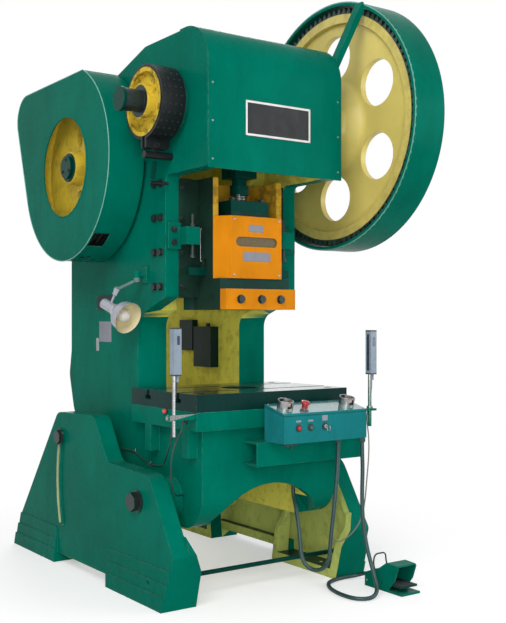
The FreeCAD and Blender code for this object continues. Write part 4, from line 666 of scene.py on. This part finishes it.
def placed(turn, x, y, z):
    """A turn at a point given as for at()."""
    return Matrix.Translation(at(x, y, z)) @ turn


def spoke(turn):
    """A unit vector square to X, turned from the back upwards by an angle in radians."""
    return Vector((0, math.cos(turn), math.sin(turn)))


def around(radius, turn, level=0.0):
    """A point about the Z axis, the turn in radians."""
    return Vector((radius * math.cos(turn), radius * math.sin(turn), level))


def skin(shape, rows, closed=True):
    """Quads between rows of as many vertices each."""
    for low, high in zip(rows, rows[1:]):
        for k in range(len(low) - (not closed)):
            after = (k + 1) % len(low)
            shape.faces.new((low[k], low[after], high[after], high[k]))


def add_lathe(shape, place, profile, sides=24):
    """A revolved form about the place's Z axis from (radius, height) in mm; a radius of 0 closes it."""
    rings = []
    for radius, height in profile:
        rings.append([shape.verts.new(place @ (around(radius, 2 * math.pi * k / sides, height) * MM))
                      for k in range(sides if radius else 1)])
    tip = rings.pop() if len(rings[-1]) == 1 else None
    skin(shape, rings)
    if tip:
        for k in range(sides):
            shape.faces.new((rings[-1][k], rings[-1][(k + 1) % sides], tip[0]))


def add_screw(shape, place, radius, sides=16):
    """A socket screw's rounded head with its hexagonal recess."""
    high = radius * 0.55
    add_lathe(shape, place,
              [(radius, -0.4), (radius, high * 0.7), (radius * 0.86, high), (radius * 0.52, high)], sides)
    add_lathe(shape, place, [(radius * 0.52, high), (radius * 0.48, high * 0.35), (0, high * 0.35)], 6)


def add_slab(shape, place, wide, high, thick, corner, steps=4):
    """A plate in mm with rounded corners and a small bevel, its face along the place's Z."""
    def loop(inset, level):
        radius = max(corner - inset, 0.2)
        points = [Vector((x * (wide / 2 - corner), y * (high / 2 - corner), level))
                  + around(radius, math.radians(start + 90 * k / steps))
                  for x, y, start in ((1, 1, 0), (-1, 1, 90), (-1, -1, 180), (1, -1, 270))
                  for k in range(steps + 1)]
        return [shape.verts.new(place @ (point * MM)) for point in points]
    bevel = min(thick * 0.4, 0.8)
    loops = [loop(0, 0), loop(0, thick - bevel), loop(bevel, thick)]
    skin(shape, loops)
    shape.faces.new(loops[0])
    shape.faces.new(loops[-1])


def small_piece(name, body, material, build, smooth_angle=35):
    mesh = mesh_from(name, build)
    mesh.materials.append(MATERIALS[material])
    piece = new_piece(name, mesh, body, smooth=False)
    mesh.shade_smooth()
    mesh.set_sharp_from_angle(angle=math.radians(smooth_angle))
    return piece


def lathe_piece(name, body, material, place, profile, sides):
    return small_piece(name, body, material, lambda shape: add_lathe(shape, place, profile, sides))


def slab_piece(name, body, material, slot, place, *sizes):
    return small_piece(name, body, material, lambda shape: add_slab(shape, place, *sizes))


def screws(name, body, material, places, normal, radius):
    """One piece with a socket screw at each place."""
    def build(shape):
        for i, point in enumerate(places):
            add_screw(shape, Matrix.Translation(point) @ facing(normal, i * 0.7), radius)
    return small_piece(name, body, material, build)


def bead(name, body, material, points, radius, closed=False):
    """A rolled edge or wire along a line, its radius in mm."""
    data = bpy.data.curves.new(name, "CURVE")
    data.dimensions = "3D"
    data.bevel_depth = radius * MM
    data.bevel_resolution = 3
    spline = data.splines.new("POLY")
    spline.points.add(len(points) - 1)
    for place, point in zip(spline.points, points):
        place.co = (*point, 1)
    spline.use_cyclic_u = closed
    data.use_fill_caps = True
    data.materials.append(MATERIALS[material])
    piece = bpy.data.objects.new(name, data)
    bpy.context.collection.objects.link(piece)
    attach(piece, body)
    return piece


def circle(x, y, z, radius, count=96):
    """Points on a circle square to X, all in mm."""
    return [at(x, y, z) + spoke(2 * math.pi * k / count) * radius * MM for k in range(count)]


LEFT, RIGHT, FRONT, UP = Vector((-1, 0, 0)), Vector((1, 0, 0)), Vector((0, -1, 0)), Vector((0, 0, 1))
TO_LEFT = Matrix(((0, 0, -1, 0), (-1, 0, 0, 0), (0, 1, 0, 0), (0, 0, 0, 1)))
TO_FRONT = Matrix(((1, 0, 0, 0), (0, 0, -1, 0), (0, 1, 0, 0), (0, 0, 0, 1)))


# ---- plates and labels, all bare
def plate_border(shape, place, wide, high, level, inset=1.5, broad=8):
    """A raised line round a plate, a little inside its edge."""
    outer = [(x * (wide / 2 - inset), y * (high / 2 - inset))
             for x, y in ((-1, -1), (1, -1), (1, 1), (-1, 1))]
    inner = [(x * (1 - broad / abs(x)), y * (1 - broad / abs(y))) for x, y in outer]
    skin(shape, [[shape.verts.new(place @ (Vector((x, y, level + rise)) * MM)) for x, y in corners]
                 for corners, rise in ((outer, -0.2), (outer, 0.35), (inner, 0.35), (inner, -0.2))])


def bare_plate(name, centre, turn, wide, high, material, rim_material=None, body="frame", thick=1.5,
               pins=True):
    """A blank plate, with a raised border if it has a material for one, and with four drive pins."""
    place = placed(turn, *centre)
    slab_piece(name, body, material, "zinc", place, wide, high, thick, 3)
    if rim_material:
        small_piece(name + "_border", body, rim_material,
                    lambda shape: plate_border(shape, place, wide, high, thick))
    if pins:
        def build(shape):
            for x in (-1, 1):
                for y in (-1, 1):
                    corner = Vector((x * (wide / 2 - 5), y * (high / 2 - 5), thick)) * MM
                    add_lathe(shape, place @ Matrix.Translation(corner),
                              [(2, -0.2), (1.8, 0.7), (1, 1.2), (0, 1.35)], 12)
        small_piece(name + "_pins", body, "zinc", build)


bare_plate("hood_plate", (2.5, HOOD_FRONT, 1787), TO_FRONT, 308, 133, "black_paint", "plate_white")
bare_plate("cover_upper_plate", (-4, COVER_FRONT, 1394), TO_FRONT, 70, 28, "plate_grey", None, "slide", 1)
bare_plate("cover_lower_plate", (-1, COVER_FRONT, 1284), TO_FRONT, 131, 36, "plate_grey", None, "slide", 1)
bare_plate("side_black_plate", (LEFT_WALL, 543, 1114), TO_LEFT, 155, 64, "relay_black")
bare_plate("side_light_plate", (LEFT_WALL, 542, 990), TO_LEFT, 110, 87, "plate_grey")
bare_plate("side_tag", (LEFT_WALL, 614, 934), TO_LEFT, 24, 55, "zinc", pins=False)


# ---- brake, sheet covers and guards
def brake_rivets():
    """Rows of rivets that hold the lining in the band, with a gap for its lug at the bottom."""
    def build(shape):
        band_radius, count, gap = 139, 26, 24
        for x in (-424, -400, -376, -352):
            for k in range(count):
                way = spoke(math.radians(-90 + gap / 2 + k * (360 - gap) / (count - 1)))
                place = Matrix.Translation(at(x, 0, CRANK_Z / MM) + way * band_radius * MM) @ facing(way)
                add_lathe(shape, place, [(4, -0.3), (3.6, 1), (2, 1.7), (0, 1.9)], 10)
    small_piece("brake_rivets", "frame", "dark_steel", build)


def cover_screws():
    """Screws of the hood into the cheeks, and of the slide's cover."""
    edges = (-296, 296)
    screws("hood_screws", "frame", "zinc",
           [at(x, HOOD_FRONT, z) for x in edges for z in (1622, 1760, 1898)], FRONT, 4)
    screws("hood_top_screws", "frame", "zinc", [at(x, -82, 2131) for x in edges], UP, 4)
    screws("cover_screws", "slide", "bright_steel",
           [at(x, COVER_FRONT, z) for x in (-108, 108) for z in (1214, 1428)], FRONT, 5)


def face_outline(node, plane):
    """The outer outline of the flat face that a node has at x = plane, as a closed line of points."""
    mesh, turn = node.data, node.matrix_world
    uses = {}
    for polygon in mesh.polygons:
        if abs((turn @ polygon.center).x - plane) < 0.0005 and abs(polygon.normal.x) > 0.99:
            for edge in polygon.edge_keys:
                uses[edge] = uses.get(edge, 0) + 1
    after = {}
    for (first, last), count in uses.items():
        if count == 1:
            after.setdefault(first, []).append(last)
            after.setdefault(last, []).append(first)
    lines = []
    while after:
        point = next(iter(after))
        line = []
        while point is not None:
            line.append(point)
            ways = after.pop(point)
            point = next((way for way in ways if way in after), None)
        lines.append([turn @ mesh.vertices[i].co for i in line])
    return max(lines, key=lambda line: sum((b - a).length for a, b in zip(line, line[1:])))


def guard_beads():
    """The rolled edges of the gear guard and of the belt guard's window, and a line round the belt guard's
    face; all but the window's are a paler green, a painted highlight along those edges.
    """
    axis, shaft = (0, CRANK_Z / MM), (584.7, SHAFT_Z / MM)
    rim = face_outline(frame["nodes"]["belt_guard"], -0.486)
    for name, material, points, radius in (
            ("gear_guard_bead", "edge_green", circle(462, *axis, 517), 3.2),
            ("gear_guard_outer_bead", "edge_green", circle(612, *axis, 517, 140), 3),
            ("belt_window_bead", "green_paint", circle(-486, *shaft, 208), 3),
            ("belt_guard_highlight_line", "edge_green", rim, 2.2)):
        bead(name, "frame", material, points, radius, closed=True)


def hub_cap():
    """The washer and screws that hold the flywheel on its shaft."""
    y, z = SHAFT_Y / MM, SHAFT_Z / MM
    lathe_piece("hub_washer", "shaft", "dark_green_paint", placed(facing(LEFT), -463.5, y, z),
                [(60, 0), (60, 4), (58, 6), (36, 6)], 48)
    screws("hub_screws", "shaft", "dark_steel",
           [at(-481, y, z) + spoke(math.radians(turn)) * 32 * MM for turn in (90, 210, 330)], LEFT, 7)


brake_rivets()
cover_screws()
guard_beads()
hub_cap()


# ---- slide and motor
def slide_scale():
    """The thin pull rod with its end rings on the slide's left side."""
    low, high = 1272, 1392
    bead("slide_scale_rod", "slide", "zinc", [at(-168, 24, low), at(-168, 24, high)], 1.8)
    screws("slide_scale_ends", "slide", "zinc", [at(-165, 24, low - 3), at(-165, 24, high + 3)],
           LEFT, 5)


def slot_plate():
    """The stained plate that shows through the slot of the slide's cover."""
    slab_piece("cover_slot_plate", "slide", "slot_brown", "dark_steel", placed(TO_FRONT, 0, -113, 1341.5),
               210, 50, 2, 3)


def screw_thread():
    """The adjusting screw's thread between the ball's neck and the rod."""
    def build(shape):
        pitch, low, high, root, crest, per_turn = 6, 1452, 1534, 28.6, 31, 24
        section = ((root, -2.6), (crest, -0.9), (crest, 0.9), (root, 2.6))
        rows = []
        for i in range(int((high - low) / pitch * per_turn) + 1):
            turn, level = 2 * math.pi * i / per_turn, low + pitch * i / per_turn
            rows.append([shape.verts.new(at(*around(radius, turn, level + shift)))
                         for radius, shift in section])
        skin(shape, rows, closed=False)
    small_piece("screw_thread", "rod", "bright_steel", build, 20)


def motor_details():
    """Dark bars of the fan cowl's grille at the motor's right end, and the terminal box's screws."""
    def build(shape):
        count = 24
        for k in range(count):
            way = spoke(2 * math.pi * k / count)
            centre = at(104, 975, 1943) + way * 62 * MM
            side = way.cross(RIGHT)
            place = Matrix((*[(way[i], side[i], RIGHT[i], centre[i]) for i in range(3)], (0, 0, 0, 1)))
            add_slab(shape, place, 46, 6, 1.2, 2.9)
    small_piece("motor_grille", "frame", "black_plastic", build)
    screws("terminal_box_screws", "frame", "dark_steel",
           [at(x, y, 2107) for x in (-168, -74) for y in (928, 1022)], UP, 4)


slide_scale()
slot_plate()
screw_thread()
motor_details()


# ---- control box
STOP_X = BOX_MIDDLE - 56
FRONT_X = {"red": BOX_MIDDLE - 132, "green": BOX_MIDDLE - 76}
KEY_X = BOX_MIDDLE - 8
FRONT_Z = 646


def lid_place(x, y=LID_Y):
    """A place on the sloping lid that faces out of it."""
    return placed(facing(LID_NORMAL), x, y, LID_Z + (y - LID_Y) * math.tan(LID_SLOPE))


def front_place(x):
    return placed(facing(FRONT), x, BOX_FRONT, FRONT_Z)


def cap(name, node, body, material, slot, place, profile, sides):
    """A cap in place of a plain CAD solid."""
    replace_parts(lathe_piece(name, body, material, place, profile, sides), node)


def palm_button(side, x):
    """A broad domed cap on its collar, and the two bright rolled edges of the sleeve round it."""
    cap(f"{side}_palm_button_cap", f"{side}_palm_button", f"{side}_palm", "pale_plastic", "green_plastic",
        lid_place(x), [(11.6, 0.5), (11.6, 11), (21, 12), (22, 14), (22, 18), (20, 20.2), (14, 21.6),
                       (6, 22.2), (0, 22.3)], 40)
    radius, level, count, span = 28.5, 30, 48, 11
    points = [lid_place(x) @ (around(radius, 2 * math.pi * k / count, level) * MM) for k in range(count)]
    for part, first in (("right", -17), ("left", 7)):
        bead(f"{side}_palm_{part}_rim", "frame", "zinc",
             [points[(first + k) % count] for k in range(span)], 2.2)


def front_caps():
    """The stop mushroom, the push-button caps and the key's barrel."""
    cap("stop_mushroom", "stop_button", "stop", "red_plastic", "red_plastic", lid_place(STOP_X),
        [(11.6, 0.5), (11.6, 11), (16.4, 12), (17, 14), (17, 19), (15.6, 22), (11, 23.6), (5, 24),
         (0, 24)], 40)
    for body, x in FRONT_X.items():
        cap(f"{body}_button_cap", f"{body}_button", body, f"{body}_plastic", f"{body}_plastic",
            front_place(x), [(7.8, 1), (7.8, 6.8), (7.2, 7.8), (5.4, 7.6), (0, 7.2)], 32)
    cap("key_barrel", "key", "key_switch", "zinc", "bright_steel", front_place(KEY_X),
        [(7.8, 1), (7.8, 6.2), (7, 7), (2.6, 7), (2.4, 15), (0, 15)], 28)


def front_bezels():
    def build(shape):
        for x in (*FRONT_X.values(), KEY_X):
            add_lathe(shape, front_place(x), [(14, 0), (14, 2.5), (13, 4), (9.4, 4.4), (8.6, 3)], 32)
    small_piece("front_bezels", "frame", "black_plastic", build)


def front_labels():
    """Small blank label plates above the front controls."""
    for name, x, wide, high in (*((body, x, 24, 7) for body, x in FRONT_X.items()), ("key", KEY_X, 26, 20)):
        bare_plate(name + "_label", (x, BOX_FRONT, FRONT_Z + 21 + high / 2), TO_FRONT, wide, high,
                   "plate_grey", thick=0.6, pins=False)


def box_lever():
    """A small latch lever under the box's left end."""
    place = placed(Matrix.Rotation(math.radians(12), 4, "Z"), -48, -392, 584)
    slab_piece("box_lever", "frame", "dark_steel", "dark_steel", place, 74, 15, 5, 5)
    bead("box_lever_pin", "frame", "dark_steel", [at(-40, -388, 570), at(-40, -388, 592)], 4)


def key_bow():
    """The key's wire bow, which hangs out of the lock."""
    turns = [math.radians(turn) for turn in range(0, 360, 15)]
    bead("key_bow", "key_switch", "zinc",
         [at(KEY_X, BOX_FRONT - 22 - 8 * math.sin(a), FRONT_Z - 6 + 11 * math.cos(a)) for a in turns], 1.1,
         closed=True)


def box_lid():
    """The lid's corner screws, and its seam round the front."""
    screws("box_lid_screws", "frame", "zinc",
           [lid_place(x, y).translation for x in (-72, 305) for y in (-390, -290)], LID_NORMAL, 3.5)
    left, right, back, front, high, low = -82.3, 315.3, -279.8, -400.3, 721, 691
    bead("box_lid_seam", "frame", "dark_green_paint",
         [at(left, back, high), at(left, front, low), at(right, front, low), at(right, back, high)], 0.9)


for side, x in zip(("left", "right"), PALM_X):
    palm_button(side, x)
front_caps()
box_lever()
front_bezels()
front_labels()
key_bow()
box_lid()


# ---- light curtain
HEAD_HIGH, HEAD_SIDE = 170, 30


def curtain_head(name, x, y, z):
    """A head's display, its long dark window towards the other head, and its end caps."""
    window, cap = ("frame", "window_plastic", "black_plastic"), ("frame", "black_plastic", "black_plastic")
    slab_piece(name + "_display", *window,
               placed(TO_FRONT, x + HEAD_SIDE * 0.58, y - 0.2, z + HEAD_HIGH * 0.74), 11, 32, 0.9, 1.5)
    inner = 1 if x < 0 else -1
    turn = Matrix(((0, 0, inner, 0), (1, 0, 0, 0), (0, 1, 0, 0), (0, 0, 0, 1)))
    face = x + (HEAD_SIDE + 0.1 if inner > 0 else -0.1)
    slab_piece(name + "_lens", *window, placed(turn, face, y + HEAD_SIDE / 2, z + HEAD_HIGH / 2),
               13, HEAD_HIGH - 30, 0.8, 1.5)
    for end, level in (("top", HEAD_HIGH - 4), ("bottom", 0)):
        place = Matrix.Translation(at(x + HEAD_SIDE / 2, y + HEAD_SIDE / 2, z + level))
        slab_piece(f"{name}_{end}_cap", *cap, place, HEAD_SIDE + 1.6, HEAD_SIDE + 1.6, 4.6, 2)


curtain_head("left_head", -448, -240, 842)
curtain_head("right_head", 342, -395, 830)


# ---- table side, glands and clips
def pilot_lamp():
    place = placed(facing(LEFT), TABLE_LEFT, -32, 698)
    lathe_piece("pilot_base", "frame", "dark_steel", place, [(9, -1), (9, 4), (7, 5), (6, 5)], 28)
    lathe_piece("pilot_lens", "frame", "red_lamp", place,
                [(7, 4), (9, 9), (7, 15), (0, 18)], 28)


def gland_nut(name, x, y, z):
    """The hexagonal nut where a hose enters the box from below."""
    lathe_piece(name, "frame", "conduit_grey", placed(facing(-UP), x, y, z),
                [(9.36, -1), (13, 0), (13, 11.7), (10.66, 16.25), (7.8, 16.9)], 6)


def cable_clips():
    """Saddles that hold the long cable to the frame's side."""
    def build(shape):
        arch = [(-2.0, 0.6), (-3.2, 3), (-3.0, 5.4), (0, 7.4), (3.0, 5.4), (3.2, 3), (2.0, 0.6)]
        for y, z in ((160, 472), (285, 509)):
            place = placed(TO_LEFT, LEFT_WALL, y, z)
            add_slab(shape, place, 10, 22, 1.2, 3)
            skin(shape, [[shape.verts.new(place @ (Vector((x, a * 1.25, b * 1.1)) * MM)) for a, b in arch]
                         for x in (-5, 5)], closed=False)
    small_piece("cable_clips", "frame", "zinc", build)


pilot_lamp()
screws("table_side_bolt", "frame", "dark_steel", [at(TABLE_LEFT, -169, 672)], LEFT, 11)
gland_nut("box_glands", 220, -345, 590)
gland_nut("box_pedal_gland", 300, -392, 589)
cable_clips()


# ---- foot switch
def pedal_tread():
    """Ribs across the pedal plate."""
    def build(shape):
        for k in range(9):
            add_slab(shape, Matrix.Translation(at(420, -516 + 9 * k, 34)), 78, 4, 1.6, 1.9)
    small_piece("pedal_tread", "pedal", "black_plastic", build)


pedal_tread()
for name, x, way in (("foot_switch_screws", 468, RIGHT), ("foot_switch_left_screws", 372, LEFT)):
    screws(name, "base", "zinc", [at(x, y, 24) for y in (-396, -340)], way, 4)


# ---- stage and light
def seen_directly(tree):
    """1 for rays from the camera, from metal and through glass; 0 for light that falls on a surface."""
    rays = tree.nodes.new("ShaderNodeLightPath")
    first = tree.nodes.new("ShaderNodeMath")
    second = tree.nodes.new("ShaderNodeMath")
    for node in (first, second):
        node.operation = "MAXIMUM"
    tree.links.new(rays.outputs["Is Camera Ray"], first.inputs[0])
    tree.links.new(rays.outputs["Is Glossy Ray"], first.inputs[1])
    tree.links.new(first.outputs[0], second.inputs[0])
    tree.links.new(rays.outputs["Is Transmission Ray"], second.inputs[1])
    return second.outputs[0]


def floor_paint():
    """A pale floor that takes the shadow near the press and fades to plain white further out."""
    shader = Shader("floor_white")
    seen = seen_directly(shader.tree)
    split = shader.add("ShaderNodeSeparateXYZ")
    shader.link(shader.place, split.inputs["Vector"])
    reach = shader.length(split.outputs["X"], split.outputs["Y"])
    white, blend = shader.add("ShaderNodeEmission"), shader.add("ShaderNodeMixShader")
    output = next(node for node in shader.tree.nodes if node.type == "OUTPUT_MATERIAL")
    for source, target in (
            (shader.times(shader.ranged(reach, 0.75, 1.75), seen), blend.inputs[0]),
            (shader.surface.outputs["BSDF"], blend.inputs[1]), (white.outputs["Emission"], blend.inputs[2]),
            (blend.outputs["Shader"], output.inputs["Surface"])):
        shader.link(source, target)
    return shader.finish(Base_Color=(0.72, 0.72, 0.72, 1), Roughness=0.8, Specular_IOR_Level=0.0,
                         Emission_Color=(1, 1, 1, 1), Emission_Strength=shader.times(seen, 0.42))


def make_stage():
    """A floor, a white world and soft light from three sides."""
    bpy.ops.mesh.primitive_plane_add(size=60, location=(0, 0, -0.0005))
    floor = bpy.context.object
    floor.name = "floor"
    floor.data.materials.append(floor_paint())
    world = bpy.data.worlds.new("studio")
    bpy.context.scene.world = world
    world.use_nodes = True
    tree = world.node_tree
    background = tree.nodes["Background"]
    seen = tree.nodes.new("ShaderNodeMath")
    seen.operation = "MULTIPLY_ADD"
    tree.links.new(seen_directly(tree), seen.inputs[0])
    seen.inputs[1].default_value = 0.60
    seen.inputs[2].default_value = 0.40
    background.inputs["Color"].default_value = (1, 1, 1, 1)
    tree.links.new(seen.outputs[0], background.inputs["Strength"])
    lights = [
        ("key", (-3.4, -3.2, 4.2), 2.6, 145),
        ("low", (-2.4, -4.1, 0.9), 2.0, 70),
        ("fill", (3.4, -3.6, 2.0), 2.4, 55),
        ("back", (2.4, 4.2, 3.6), 2.5, 80),
    ]
    for name, place, size, power in lights:
        data = bpy.data.lights.new(name, "AREA")
        data.size = size
        data.energy = power
        lamp = bpy.data.objects.new(name, data)
        lamp.location = place
        lamp.visible_camera = False
        aim = Vector((0, 0, 1.0)) - Vector(place)
        lamp.rotation_euler = aim.to_track_quat("-Z", "Y").to_euler()
        bpy.context.collection.objects.link(lamp)


make_stage()
bpy.context.scene.view_settings.view_transform = "Standard"
